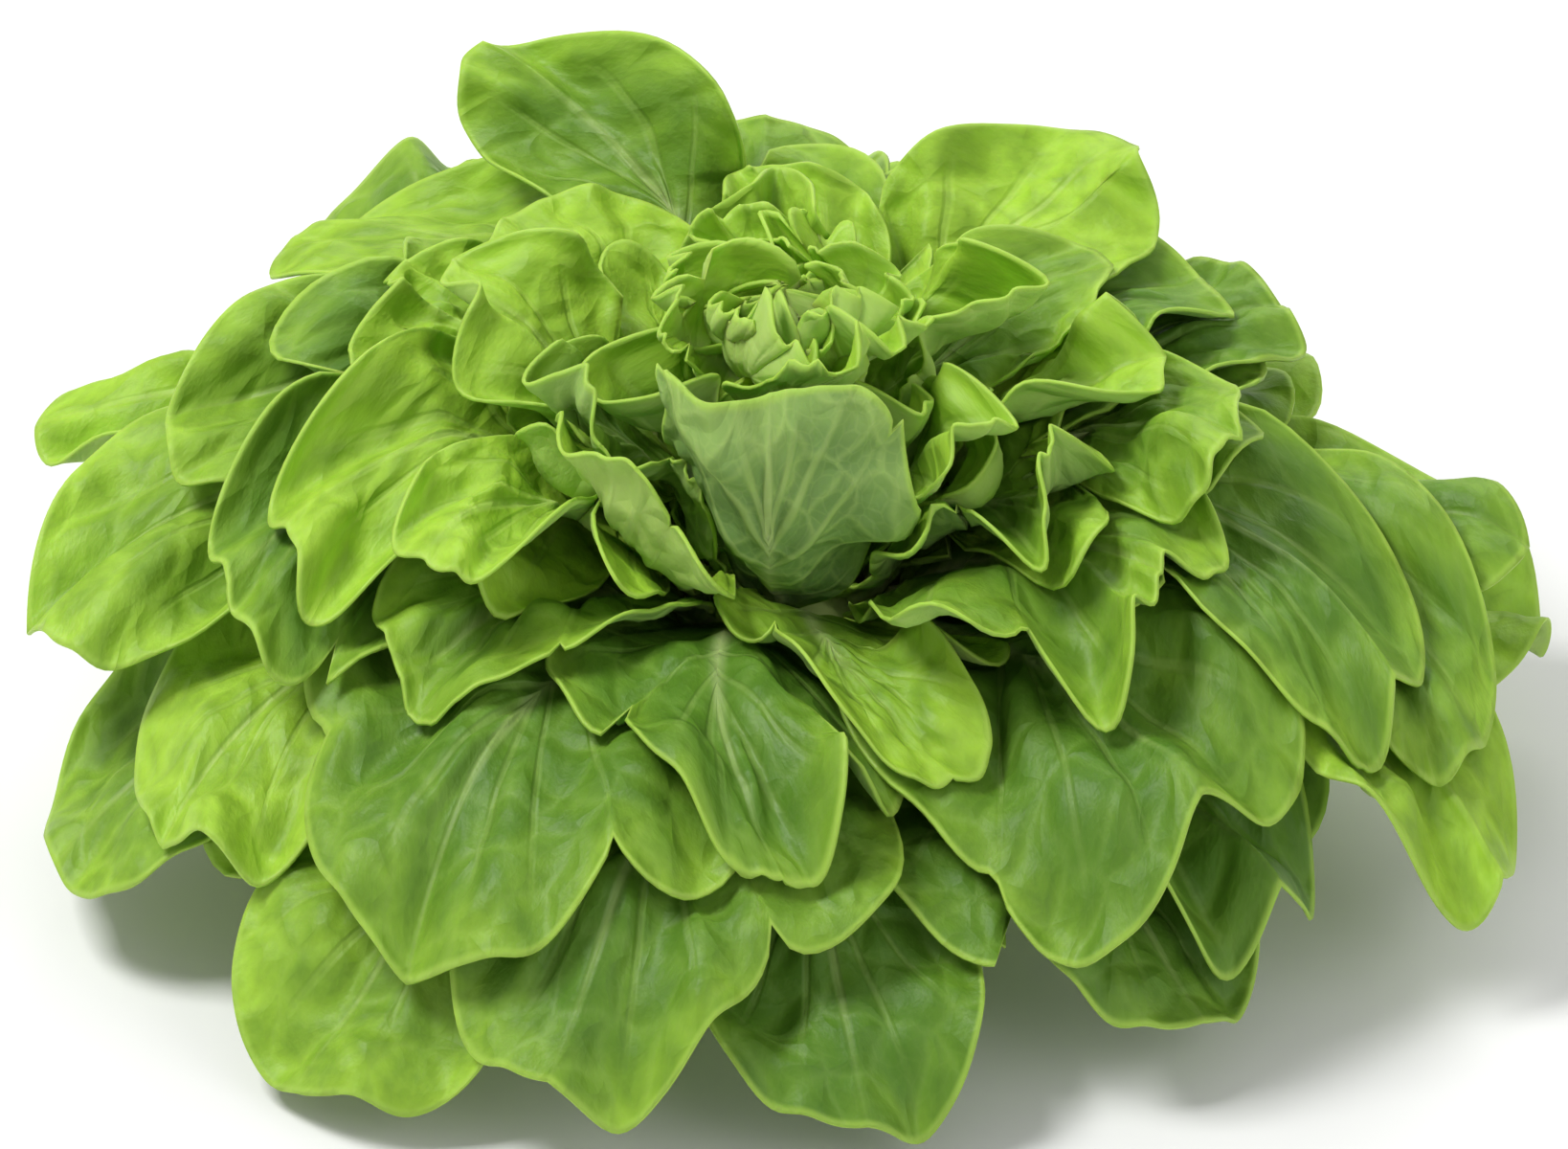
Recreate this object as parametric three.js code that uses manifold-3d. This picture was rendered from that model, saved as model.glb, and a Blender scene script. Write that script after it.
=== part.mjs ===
// A whole head of green oak leaf lettuce, standing on its cut stem.
// Millimetres, +Z up. The origin is the centre of the flat cut face of the stem, and -Y is the front.
//
// The head is a loose rosette. Every leaf grows from the crown, a point inside the stem, and is laid out
// in polar terms round it: bearing (round the head, from the front), reach (distance from the crown) and
// rise (angle above the level). Each leaf starts from its own wanted rise. Then the leaves are settled:
// wherever two come too close, the lower is pressed down and the upper is raised, so the leaves lean on
// each other as in the real head. Last, the few blades that still touch are parted, so no two of them meet.
import * as THREE from "three";
import { mergeVertices } from "three/addons/utils/BufferGeometryUtils.js";
import Module from "manifold-3d";

const wasm = await Module();
wasm.setup();

// Stem and crown.
const CROWN_HEIGHT = 34;
const CUT_RADIUS = 16;
const STEM_KNOB_RADIUS = 21.4;
const STEM_SIDES = 20;
const STEM_TOP_GAP = 0.6;

// Leaf blades.
const ROOT_REACH = 22.4;
const BLADE_THICKNESS = 0.9;
const RIB_THICKNESS = 2.6;
const ROOT_HALF_WIDTH = 5;
const MIDRIB_SHARE = 0.57;
// Spokes turn evenly from square to the midrib at the root (0) to straight ahead at the tip (1). Those at
// the notches are short, and the lobes between are round. The first LARGE_LEAVES leaves have more spokes
// and rings.
const SPOKES = [0, 0.1, 0.2, 0.27, 0.35, 0.43, 0.5, 0.57, 0.65, 0.74, 0.83, 0.92, 1];
const LEAF_RINGS = 3;
const LARGE_LEAVES = 26;
const SMALL_SPOKES = [0, 0.1, 0.2, 0.35, 0.5, 0.62, 0.75, 0.88, 1];
const SMALL_RINGS = 2;
const SPOKE_TURN = 89;
const MIDRIB_POWER = 2.2;
const NOTCHES = [0.2, 0.5];
const LOBE_SPREAD = 0.5;
const LOBE_LIFT = 1.3;
const WAVE_HEIGHT = 1.1;
const ARCH = 1.8;
// How much the back leaves differ from their rows, in degrees of sweep and mm of lean.
const UNEVEN_SWEEP = 36;
const UNEVEN_LEAN = 22;
const UNEVEN_FROM = 95;

// Room kept between one leaf and the next, and how the leaves are settled on each other.
const GROUND_CLEARANCE = 0.8;
const SPARE_GAP = 0.6;
const SLOPE_ALLOWANCE = 1.2;
const HEART_RISE = 73;
const HEART_OPENING = 66;
const BEARING_CELLS = 240;
const REACH_CELL = 2.5;
const EDGE_REACH = 0.25;
const SETTLE_ROUNDS = 90;
const STIFF_ROUNDS = 60;
const STIFFNESS = 0.3;
const UPPER_SHARE = 0.4;
const BEND_ALONG = 40;
const BEND_ACROSS = 22;
// The last parting of blades that touch: their spare thickness, the size of a step, and how far round a
// touching place it eases the leaf.
const PARTING_GAP = 0.15;
const PARTING_ROUNDS = 80;
const PARTING_STEP = 0.4;
const PARTING_SPREAD = 24;

// The leaves from the ground up:
// name, bearing and rise at root and tip (degrees), reach and half width (mm), edge lift (mm), waves (mm),
// lean to the right (mm across the half width), sideways sweep of the tip (degrees), notch depth.
const LEAVES = [
  ["low_leaf_front_left", -36, 16, -13, 152, 56, 5, 5, 0, -4, 0.24],
  ["low_leaf_front_right", 3, 14, -12, 132, 50, 6, 5, 0, 4, 0.2],
  ["low_leaf_right", 38, 10, -15, 144, 52, 5, 3, 4, 0, 0.28],
  ["low_leaf_far_right", 92, 14, -6, 149, 52, 6, 8, 4, 6, 0.34],
  ["low_leaf_back_right", 140, 16, -8, 138, 60, 8, 8, 0, -6, 0.28],
  ["low_leaf_back", -176, 18, -8, 132, 60, 8, 8, 0, 6, 0.28],
  ["low_leaf_back_left", -128, 14, -9, 140, 60, 6, 5, 0, -6, 0.28],
  ["low_leaf_left", -78, 12, -16, 168, 60, 5, 3, 0, 12, 0.26],
  ["skirt_leaf_front", -15, 24, -11, 140, 50, 8, 6, 8, -4, 0.24],
  ["skirt_leaf_front_right", 48, 27, -6, 124, 46, 10, 9, -10, 0, 0.28],
  ["skirt_leaf_right", 76, 26, -9, 166, 54, 8, 7, 4, -16, 0.34],
  ["skirt_leaf_side_right", 98, 28, 1, 150, 42, 10, 9, 4, -10, 0.4],
  ["skirt_leaf_back_right", 158, 30, 3, 144, 56, 10, 9, 6, -8, 0.28],
  ["skirt_leaf_back_left", -148, 30, 2, 144, 58, 10, 9, -6, 8, 0.28],
  ["skirt_leaf_side_left", -114, 30, 12, 160, 44, 10, 9, -4, -4, 0.42],
  ["skirt_leaf_front_left", -74, 26, -11, 150, 52, 10, 6, -4, 18, 0.26],
  ["wide_leaf_side_right", 94, 36, 6, 138, 52, 10, 10, -6, -22, 0.32],
  ["wide_leaf_back_right", 132, 38, 8, 134, 54, 10, 10, 6, 8, 0.28],
  ["wide_leaf_back", -178, 38, 10, 126, 56, 10, 10, 0, -8, 0.28],
  ["wide_leaf_back_left", -136, 38, 8, 138, 56, 10, 9, -6, 6, 0.28],
  ["wide_leaf_left", -95, 36, 3, 148, 56, 12, 7, -8, 14, 0.36],
  ["cupped_leaf_front_left", -40, 40, 0, 126, 50, 18, 4, -4, 6, 0.1],
  ["mid_leaf_front", -18, 42, -5, 108, 40, 10, 8, 8, 20, 0.26],
  ["mid_leaf_front_right", 46, 42, 14, 116, 54, 14, 6, 6, -4, 0.14],
  ["mid_leaf_right", 84, 46, 12, 128, 50, 12, 10, 12, -18, 0.34],
  ["mid_leaf_side_right", 108, 46, 12, 118, 50, 10, 10, -6, -8, 0.3],
  ["mid_leaf_back_right", 156, 47, 10, 102, 48, 10, 8, 6, -8, 0.28],
  ["mid_leaf_back_left", -148, 48, 20, 126, 52, 10, 10, -6, 8, 0.36],
  ["mid_leaf_side_left", -110, 48, 22, 130, 52, 12, 9, -8, 6, 0.38],
  ["upright_leaf_left", -92, 46, 8, 134, 52, 16, 5, -12, 30, 0.2],
  ["small_leaf_front_left", -56, 50, 8, 98, 38, 10, 7, 6, 4, 0.2],
  ["folded_leaf_front", 6, 48, 10, 84, 30, 14, 5, -12, 14, 0.26],
  ["ruffled_leaf_right", 62, 55, 20, 104, 46, 12, 10, 8, -8, 0.3],
  ["high_leaf_right", 94, 55, 34, 110, 42, -6, 9, 8, -20, 0.38],
  ["high_leaf_side_right", 124, 56, 30, 112, 46, 10, 10, -6, -6, 0.36],
  ["high_leaf_back", -176, 58, 32, 108, 42, 12, 10, 0, 0, 0.4],
  ["tall_leaf_back_left", -167, 58, 29, 138, 40, 12, 10, 0, 4, 0.36],
  ["high_leaf_back_left", -116, 58, 37, 108, 46, 8, 7, 6, 8, 0.4],
  ["high_leaf_left", -92, 60, 32, 108, 40, 12, 9, -12, 20, 0.42],
  ["high_leaf_front_left", -72, 61, 36, 102, 34, 12, 9, 8, 20, 0.4],
  ["pale_leaf_back_right", 142, 60, 41, 118, 34, 8, 6, 0, 12, 0.2],
  ["pale_leaf_front_left", -44, 26, 44, 92, 34, 6, 4, -8, 0, 0.16],
  ["inner_leaf_front_right", 68, 60, 34, 98, 36, 12, 10, -4, -16, 0.36],
  ["inner_leaf_right", 84, 64, 46, 98, 36, 10, 10, 8, 6, 0.38],
  ["inner_leaf_side_right", 112, 65, 42, 92, 32, 10, 9, -6, -6, 0.36],
  ["inner_leaf_back", 162, 65, 46, 100, 38, 10, 9, 0, 6, 0.38],
  ["inner_leaf_back_left", -136, 66, 46, 102, 40, 8, 7, 6, 6, 0.42],
  ["inner_leaf_side_left", -100, 67, 50, 98, 34, 10, 8, -6, 6, 0.4],
  ["curled_leaf_left", -68, 68, 52, 92, 30, 10, 9, 0, 8, 0.28],
  ["veined_leaf_front", -4, 30, 66, 104, 46, 5, 2, 8, 0, 0.1],
  ["narrow_leaf_front_right", 50, 60, 58, 96, 24, 8, 9, 10, 0, 0.28],
  ["crown_leaf_front_right", 42, 72, 66, 82, 22, 8, 8, -8, 6, 0.3],
  ["crown_leaf_back_right", 118, 71, 60, 92, 28, 8, 9, 6, -6, 0.3],
  ["crown_leaf_back", -172, 71, 56, 92, 28, 8, 9, -6, 6, 0.3],
  ["crown_leaf_front_left", -60, 72, 66, 82, 22, 8, 8, 0, -6, 0.3],
];

// The heart: small crowded leaves round a centre of their own, fused with the bud they grow from.
// It keeps inside the cone that the settled leaves leave free round the axis.
const SMALL_LEAVES = 18;
const HEART_TURN = 137.5;
const HEART_HEIGHT = 90;
const HEART_ROOT_REACH = 7;
const HEART_SPOKES = [0, 0.26, 0.45, 0.62, 0.8, 1];
const HEART_RINGS = 2;
const HEART_MARGIN = 2;
const BUD_SIDES = 8;
const BUD_FOOT = STEM_TOP_GAP + CROWN_HEIGHT + STEM_KNOB_RADIUS;

const TAU = 2 * Math.PI;
const radians = (degrees) => (degrees * Math.PI) / 180;
const mix = (a, b, share) => a + (b - a) * share;
const smooth = (x) => x * x * (3 - 2 * x);
const clamp = (x) => Math.min(Math.max(x, 0), 1);

// A repeatable draw from 0 to 1 for the given leaf and purpose.
function chance(leaf, purpose) {
  const wave = Math.sin(leaf * 12.9898 + purpose * 78.233) * 43758.5453;
  return wave - Math.floor(wave);
}

// The rise up to which large leaves may stand. The heart has the room inside.
function heartLimit(reach) {
  return radians(mix(HEART_RISE, HEART_OPENING, smooth(clamp((reach - 68) / 32))));
}

// The point at a bearing from the front, a reach from a centre on the axis and a rise above the level.
function polarPoint(bearing, reach, rise, height) {
  const out = reach * Math.cos(rise);
  const z = height + reach * Math.sin(rise);
  return new THREE.Vector3(out * Math.sin(bearing), -out * Math.cos(bearing), z);
}

// A leaf laid flat: p runs from root to tip and q across, in mm. Spokes leave the midrib like its side
// veins, and rings run from midrib to edge.
class FlatLeaf {
  constructor(number, row, spokes, rings, centre = CROWN_HEIGHT, rootReach = ROOT_REACH) {
    [this.name, this.bearing, this.rootRise, this.tipRise, this.reach, this.halfWidth] = row;
    [this.edgeLift, this.waves, this.lean, this.sweep, this.notchDepth] = row.slice(6);
    this.number = number;
    if (Math.abs(this.bearing) > UNEVEN_FROM) {
      this.sweep += UNEVEN_SWEEP * (chance(number, 71) - 0.5);
      this.lean += UNEVEN_LEAN * (chance(number, 72) - 0.5);
    }
    this.centre = centre;
    this.rootReach = rootReach;
    this.length = this.reach - rootReach;
    this.spokes = spokes.length - 1;
    this.rings = rings;
    this.points = [];
    spokes.forEach((fan, k) => {
      const left = k < this.spokes ? rings : 0;
      for (let r = left; r > 0; r--) this.points.push(this.flatPoint(fan, -1, r / rings));
      for (let r = 0; r <= rings; r++) this.points.push(this.flatPoint(fan, 1, r / rings));
    });
  }

  // Where a spoke's ring lies among the points. The last spoke, at the tip, serves both sides.
  at(k, side, r) {
    const first = k * (2 * this.rings + 1);
    return k === this.spokes ? first + r : first + this.rings + side * r;
  }

  // A repeatable draw for one lobe. Both sides share the lobe at the tip.
  draw(lobe, side, purpose) {
    return chance(this.number, purpose + 3 * lobe + (lobe < NOTCHES.length ? side : 0));
  }

  // Which lobe a spoke is in, and how far it is from the middle of the lobe, 1 at its notches.
  lobeAt(fan) {
    const bounds = [2 * NOTCHES[0] - NOTCHES[1], ...NOTCHES, 2 - NOTCHES.at(-1)];
    const lobe = NOTCHES.filter((notch) => fan >= notch).length;
    const [start, end] = [bounds[lobe], bounds[lobe + 1]];
    const away = (2 * fan - start - end) / (end - start);
    return { lobe, away: lobe === 0 && away < 0 ? 0 : Math.min(Math.abs(away), 1) };
  }

  // The length of a spoke. Notches part the edge into round lobes of different lengths.
  spokeLength(fan, side) {
    const { lobe, away } = this.lobeAt(fan);
    const wide = mix(ROOT_HALF_WIDTH, this.halfWidth * 1.05, smooth(Math.min(fan / 0.34, 1)));
    const tip = 0.94 * this.length * (1 - MIDRIB_SHARE);
    const plain = mix(wide, tip, smooth(Math.max((fan - 0.5) / 0.5, 0)));
    const spread = 1 + LOBE_SPREAD * (this.draw(lobe, side, 61) - 0.5) * (1 - away ** 2);
    const depth = this.notchDepth * (0.6 + 1.2 * this.draw(lobe, side, 65));
    return plain * spread * (1 - depth * (1 - Math.sqrt(1 - away ** 2)));
  }

  flatPoint(fan, side, out) {
    const turn = radians(SPOKE_TURN * (1 - fan));
    const spoke = this.spokeLength(fan, side) * out;
    const midrib = this.length * MIDRIB_SHARE * (1 - (1 - fan) ** MIDRIB_POWER);
    const p = midrib + spoke * Math.cos(turn);
    return { fan, side, out, p, q: side * spoke * Math.sin(turn), lift: 0 };
  }

  // The waves along one edge. Towards the tip those of both edges blend into one.
  wave(fan, side) {
    const count = 1.3 + 0.8 * chance(this.number, 17 + side);
    return Math.sin(TAU * (count * fan + chance(this.number, 11 + side)));
  }

  // How far a point stands above the leaf's plain curve, in mm, before the leaves are settled.
  relief({ fan, side, out, p, q }) {
    const across = q / this.halfWidth;
    const cup = (this.edgeLift * (across * across + out * out)) / 2;
    const both = (this.wave(fan, -1) + this.wave(fan, 1)) / 2;
    const wave = mix(this.wave(fan, side), both, smooth(clamp((fan - 0.75) / 0.25)));
    const { lobe, away } = this.lobeAt(fan);
    const lobeLift = LOBE_LIFT * (2 * this.draw(lobe, side, 81) - 1) * (1 - away ** 2);
    const edge = WAVE_HEIGHT * (wave + lobeLift) * this.waves * out ** 1.4;
    return (cup + this.lean * across + edge) * smooth(clamp((2 * p) / this.length));
  }

  // Where each point lies before settling. Settling only changes its lift, an angle added to the rise.
  layOut() {
    for (const point of this.points) {
      const share = point.p / this.length;
      const rise = radians(mix(this.rootRise, this.tipRise, share ** ARCH));
      // The blade is straight across, so its sides reach further out than its midrib.
      const out = (this.rootReach + point.p) * Math.cos(rise);
      const height = (this.rootReach + point.p) * Math.sin(rise);
      point.reach = Math.hypot(out, point.q, height);
      point.rise = Math.atan2(height, Math.hypot(out, point.q)) + this.relief(point) / point.reach;
      point.bearing = radians(this.bearing + this.sweep * share * share) + Math.atan2(point.q, out);
      point.thickness = this.thickness(point);
    }
  }

  // Pairs of triangles between neighbouring spokes, with the diagonal always from the same corner.
  triangles() {
    const faces = [];
    for (let k = 0; k < this.spokes; k++)
      for (const side of [-1, 1])
        for (let r = 0; r < this.rings; r++) {
          const near = [this.at(k, side, r), this.at(k, side, r + 1)];
          const far = [this.at(k + 1, side, r + 1), this.at(k + 1, side, r)];
          const [a, b, c, d] = side > 0 ? [...near, ...far].reverse() : [...near, ...far];
          faces.push(...(side > 0 ? [[a, b, d], [b, c, d]] : [[a, b, c], [a, c, d]]));
        }
    return faces;
  }

  thickness({ out, p }) {
    const rib = RIB_THICKNESS * Math.exp(-p / (0.45 * this.length));
    return BLADE_THICKNESS + Math.max(rib - BLADE_THICKNESS, 0) * (1 - out) ** 2;
  }

  // For each point, how much every other point of the leaf shares in its bending.
  spread() {
    return this.points.map((point) => {
      const shares = this.points.map((other) =>
        Math.max(1 - Math.hypot((point.p - other.p) / BEND_ALONG, (point.q - other.q) / BEND_ACROSS), 0),
      );
      const total = shares.reduce((sum, share) => sum + share, 0);
      return shares.map((share) => share / total);
    });
  }

  // The cells of bearing and reach that the leaf covers, each with the three points round it and their
  // shares. Cells just past the edge count too, so that edges keep their distance.
  cells() {
    const found = new Map();
    const turn = TAU / BEARING_CELLS;
    for (const corners of this.triangles()) {
      const places = corners.map((i) => this.points[i]);
      const [A, B, C] = places.map((point) => ({ x: point.bearing / turn, y: point.reach / REACH_CELL }));
      const area = (B.x - A.x) * (C.y - A.y) - (C.x - A.x) * (B.y - A.y);
      const slack = corners.some((i) => this.points[i].out === 1) ? EDGE_REACH : 0;
      const low = (axis) => Math.floor(Math.min(A[axis], B[axis], C[axis]) - 1);
      const high = (axis) => Math.ceil(Math.max(A[axis], B[axis], C[axis]) + 1);
      for (let i = low("x"); i <= high("x"); i++)
        for (let j = Math.max(low("y"), 0); j <= high("y"); j++) {
          const [x, y] = [i + 0.5, j + 0.5];
          const u = ((B.x - x) * (C.y - y) - (C.x - x) * (B.y - y)) / area;
          const v = ((C.x - x) * (A.y - y) - (A.x - x) * (C.y - y)) / area;
          const shares = [u, v, 1 - u - v];
          const inside = Math.min(...shares);
          if (!(inside >= -slack)) continue;
          const key = (((i % BEARING_CELLS) + BEARING_CELLS) % BEARING_CELLS) * 1000 + j;
          const fit = Math.min(inside, 0);
          if (found.has(key) && found.get(key).fit >= fit) continue;
          found.set(key, { leaf: this, corners, shares, fit, reach: y * REACH_CELL });
        }
    }
    return found;
  }

  middle() {
    const place = ({ bearing, reach, rise, lift }) => polarPoint(bearing, reach, rise + lift, this.centre);
    return this.points.map(place);
  }

  // The upper and lower skins of the blade: the middle surface moved along its normals.
  skins(middle, spare) {
    const normals = middle.map(() => new THREE.Vector3());
    const faces = this.triangles();
    for (const [a, b, c] of faces) {
      const across = middle[c].clone().sub(middle[a]);
      const normal = middle[b].clone().sub(middle[a]).cross(across);
      for (const corner of [a, b, c]) normals[corner].add(normal);
    }
    for (const normal of normals) normal.normalize();
    const half = this.points.map((point) => (point.thickness + spare) / 2);
    const shift = (way) => middle.map((at, i) => at.clone().addScaledVector(normals[i], way * half[i]));
    return { upper: shift(1), lower: shift(-1), faces };
  }

  geometry(middle = this.middle(), spare = 0) {
    const { upper, lower, faces } = this.skins(middle, spare);
    const count = upper.length;
    const all = [...upper, ...lower];
    const triangles = faces.flatMap(([a, b, c]) => [a, b, c, a + count, c + count, b + count]);
    // The edge strip: each border edge of the upper skin belongs to one face only.
    const used = new Set(faces.flatMap(([a, b, c]) => [`${a},${b}`, `${b},${c}`, `${c},${a}`]));
    for (const [a, b, c] of faces)
      for (const [from, to] of [[a, b], [b, c], [c, a]]) {
        if (used.has(`${to},${from}`)) continue;
        triangles.push(from, from + count, to + count, from, to + count, to);
      }
    const geometry = new THREE.BufferGeometry();
    geometry.setAttribute("position", new THREE.Float32BufferAttribute(all.flatMap((v) => v.toArray()), 3));
    geometry.setIndex(triangles);
    return geometry;
  }
}

// Settles the leaves on each other. In every cell the leaves keep their order, and where two come too close
// the lower is pressed down most of the way and the upper is raised a little. Each push spreads through its
// leaf.
function settle(leaves) {
  const stacks = new Map();
  for (const leaf of leaves)
    for (const [key, entry] of leaf.cells()) {
      if (!stacks.has(key)) stacks.set(key, []);
      stacks.get(key).push(entry);
    }
  const riseOf = ({ leaf, corners, shares }) =>
    corners.reduce((sum, i, n) => sum + shares[n] * (leaf.points[i].rise + leaf.points[i].lift), 0);
  const thicknessOf = ({ leaf, corners, shares }) =>
    corners.reduce((sum, i, n) => sum + shares[n] * leaf.points[i].thickness, 0);
  const entries = [];
  for (const stack of stacks.values())
    stack.forEach((entry, n) => {
      entry.thickness = Math.max(thicknessOf(entry), BLADE_THICKNESS);
      const drop = (GROUND_CLEARANCE + entry.thickness - CROWN_HEIGHT) / entry.reach;
      entry.ground = drop > -1 ? Math.asin(drop) : -Math.PI / 2;
      entry.ceiling = heartLimit(entry.reach);
      entry.below = stack[n - 1];
      entries.push(entry);
      if (!entry.below) return;
      const thickness = (entry.thickness + entry.below.thickness) / 2;
      entry.apart = (SLOPE_ALLOWANCE * thickness + SPARE_GAP) / entry.reach;
    });
  const spreads = leaves.map((leaf) => leaf.spread());
  const push = (entry, angle) =>
    entry.corners.forEach((i, n) => {
      const point = entry.leaf.points[i];
      const share = angle * Math.min(1, Math.max(2.5 * entry.shares[n], 0));
      if (share > 0) point.up = Math.max(point.up, share);
      else point.down = Math.min(point.down, share);
    });
  for (let round = 0; round < SETTLE_ROUNDS; round++) {
    for (const leaf of leaves) for (const point of leaf.points) point.up = point.down = 0;
    for (const entry of entries) entry.now = riseOf(entry);
    for (const entry of entries) {
      if (entry.now < entry.ground) push(entry, entry.ground - entry.now);
      if (entry.now > entry.ceiling) push(entry, entry.ceiling - entry.now);
      if (!entry.below) continue;
      const short = entry.apart - (entry.now - entry.below.now);
      if (short <= 0) continue;
      push(entry, short * UPPER_SHARE);
      push(entry.below, -short * (1 - UPPER_SHARE));
    }
    const ease = round < STIFF_ROUNDS ? STIFFNESS * (1 - round / STIFF_ROUNDS) : 0;
    leaves.forEach((leaf, n) => {
      for (const point of leaf.points) point.lift += point.up + point.down;
      if (!ease) return;
      const before = leaf.points.map((point) => point.lift);
      leaf.points.forEach((point, i) => {
        const around = spreads[n][i].reduce((sum, share, j) => sum + share * before[j], 0);
        point.lift = mix(before[i], around, ease);
      });
    });
  }
}

// Parts the blades that still touch. The points round such a place are eased off, those of the lower leaf
// down and those of the upper one up, until slightly thicker blades are clear of each other everywhere.
function part(leaves) {
  const thick = (leaf) => solidOf(leaf.geometry(leaf.middle(), PARTING_GAP));
  const solids = leaves.map(thick);
  let moved = new Set(leaves);
  for (let round = 0; round < PARTING_ROUNDS && moved.size; round++) {
    const next = new Set();
    leaves.forEach((upper, j) =>
      leaves.slice(0, j).forEach((lower, i) => {
        if (!moved.has(upper) && !moved.has(lower)) return;
        const shared = solids[i].intersect(solids[j]);
        if (shared.isEmpty()) return;
        const box = shared.boundingBox();
        const [low, high] = [new THREE.Vector3(...box.min), new THREE.Vector3(...box.max)];
        const place = new THREE.Box3(low, high);
        for (const [leaf, way] of [[lower, -1], [upper, 1]]) {
          leaf.middle().forEach((at, n) => {
            const share = 1 - place.distanceToPoint(at) / PARTING_SPREAD;
            if (share > 0) leaf.points[n].lift += (way * PARTING_STEP * share) / leaf.points[n].reach;
          });
          next.add(leaf);
        }
      }),
    );
    moved = next;
    leaves.forEach((leaf, i) => {
      if (moved.has(leaf)) solids[i] = thick(leaf);
    });
  }
}

function solidOf(geometry) {
  const bare = geometry.clone();
  for (const name of ["normal", "uv"]) bare.deleteAttribute(name);
  const merged = mergeVertices(bare, 1e-3);
  const triVerts = new Uint32Array(merged.index.array);
  const vertProperties = merged.attributes.position.array;
  return new wasm.Manifold(new wasm.Mesh({ numProp: 3, vertProperties, triVerts }));
}

function geometryOf(solid) {
  const made = solid.getMesh();
  const geometry = new THREE.BufferGeometry();
  geometry.setAttribute("position", new THREE.Float32BufferAttribute(made.vertProperties, 3));
  geometry.setIndex(Array.from(made.triVerts));
  return geometry;
}

// The outer skin of a solid, which fills the hollows that crossing leaves seal. Rounding can part new
// slivers from the skin, so it is taken again until nothing comes off.
function outerSkin(solid) {
  const shells = solidOf(geometryOf(solid)).decompose();
  const [largest] = shells.sort((a, b) => b.volume() - a.volume());
  return shells.length > 1 ? outerSkin(largest) : largest;
}

const leafGreen = new THREE.MeshStandardMaterial({ color: 0x5c9426, roughness: 0.55, metalness: 0 });
const innerGreen = new THREE.MeshStandardMaterial({ color: 0x86b83a, roughness: 0.5, metalness: 0 });
const heartGreen = new THREE.MeshStandardMaterial({ color: 0xa4cc4e, roughness: 0.5, metalness: 0 });
const stemCream = new THREE.MeshStandardMaterial({ color: 0xd9dcae, roughness: 0.5, metalness: 0 });

const lettuce = new THREE.Group();

function addNode(name, geometry, material) {
  const mesh = new THREE.Mesh(geometry, material);
  mesh.name = name;
  lettuce.add(mesh);
}

// A solid turned round the upright axis from pairs of radius and height.
function turned(profile, sides) {
  const points = profile.map(([out, height]) => new THREE.Vector2(out, height));
  return new THREE.LatheGeometry(points, sides).rotateX(Math.PI / 2);
}

// The stem: a short stump with a flat cut face, swelling to the round knob that the leaves grow from.
function stemGeometry() {
  const profile = [
    [0, 0],
    [CUT_RADIUS, 0],
    [CUT_RADIUS + 0.8, 6],
  ];
  for (let i = 1; i < 9; i++) {
    const angle = radians(mix(-28, 90, i / 9));
    profile.push([STEM_KNOB_RADIUS * Math.cos(angle), CROWN_HEIGHT + STEM_KNOB_RADIUS * Math.sin(angle)]);
  }
  profile.push([0, CROWN_HEIGHT + STEM_KNOB_RADIUS]);
  return turned(profile, STEM_SIDES);
}

// Turns a point up out of the room of the large leaves, towards the axis.
function drawIn(at) {
  const [out, height] = [Math.hypot(at.x, at.y), at.z - CROWN_HEIGHT];
  const reach = Math.hypot(out, height);
  const rise = Math.max(Math.atan2(height, out), heartLimit(reach) + HEART_MARGIN / reach);
  const share = (reach * Math.cos(rise)) / Math.max(out, 1e-6);
  return new THREE.Vector3(at.x * share, at.y * share, CROWN_HEIGHT + reach * Math.sin(rise));
}

// The heart leaves spread in a spiral, the lowest widest and longest, from a bud that fills the cone's
// foot. Every second place in the spiral is left out, as the leaves there only fill the gaps between the
// others.
function heartGeometry() {
  const profile = [
    [0, BUD_FOOT],
    [4, BUD_FOOT],
    [7.5, HEART_HEIGHT - 6],
    [8, HEART_HEIGHT + 3],
    [5, HEART_HEIGHT + 10],
    [0, HEART_HEIGHT + 14],
  ];
  let heart = solidOf(turned(profile, BUD_SIDES));
  for (let i = 0; i < SMALL_LEAVES; i += 2) {
    const share = i / (SMALL_LEAVES - 1);
    const rise = mix(36, 74, share);
    const lean = 16 * (chance(i, 91) - 0.5);
    const size = [mix(42, 22, share), mix(19, 12, share)];
    const row = ["", i * HEART_TURN, rise, rise - 4, ...size, 7, 4, lean, 20, 0.3];
    const number = LEAVES.length + i;
    const leaf = new FlatLeaf(number, row, HEART_SPOKES, HEART_RINGS, HEART_HEIGHT, HEART_ROOT_REACH);
    leaf.layOut();
    heart = heart.add(solidOf(leaf.geometry(leaf.middle().map(drawIn))));
  }
  return geometryOf(outerSkin(heart.simplify(0.12)));
}

addNode("cut_stem", stemGeometry(), stemCream);

const leaves = LEAVES.map((row, number) => {
  const large = number < LARGE_LEAVES;
  return new FlatLeaf(number, row, large ? SPOKES : SMALL_SPOKES, large ? LEAF_RINGS : SMALL_RINGS);
});
for (const leaf of leaves) leaf.layOut();
settle(leaves);
part(leaves);
leaves.forEach((leaf, number) => {
  const material = number < leaves.length / 2 ? leafGreen : innerGreen;
  addNode(leaf.name, leaf.geometry(), material);
});
addNode("heart", heartGeometry(), heartGreen);

export default lettuce;
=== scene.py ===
import functools
import math

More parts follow.
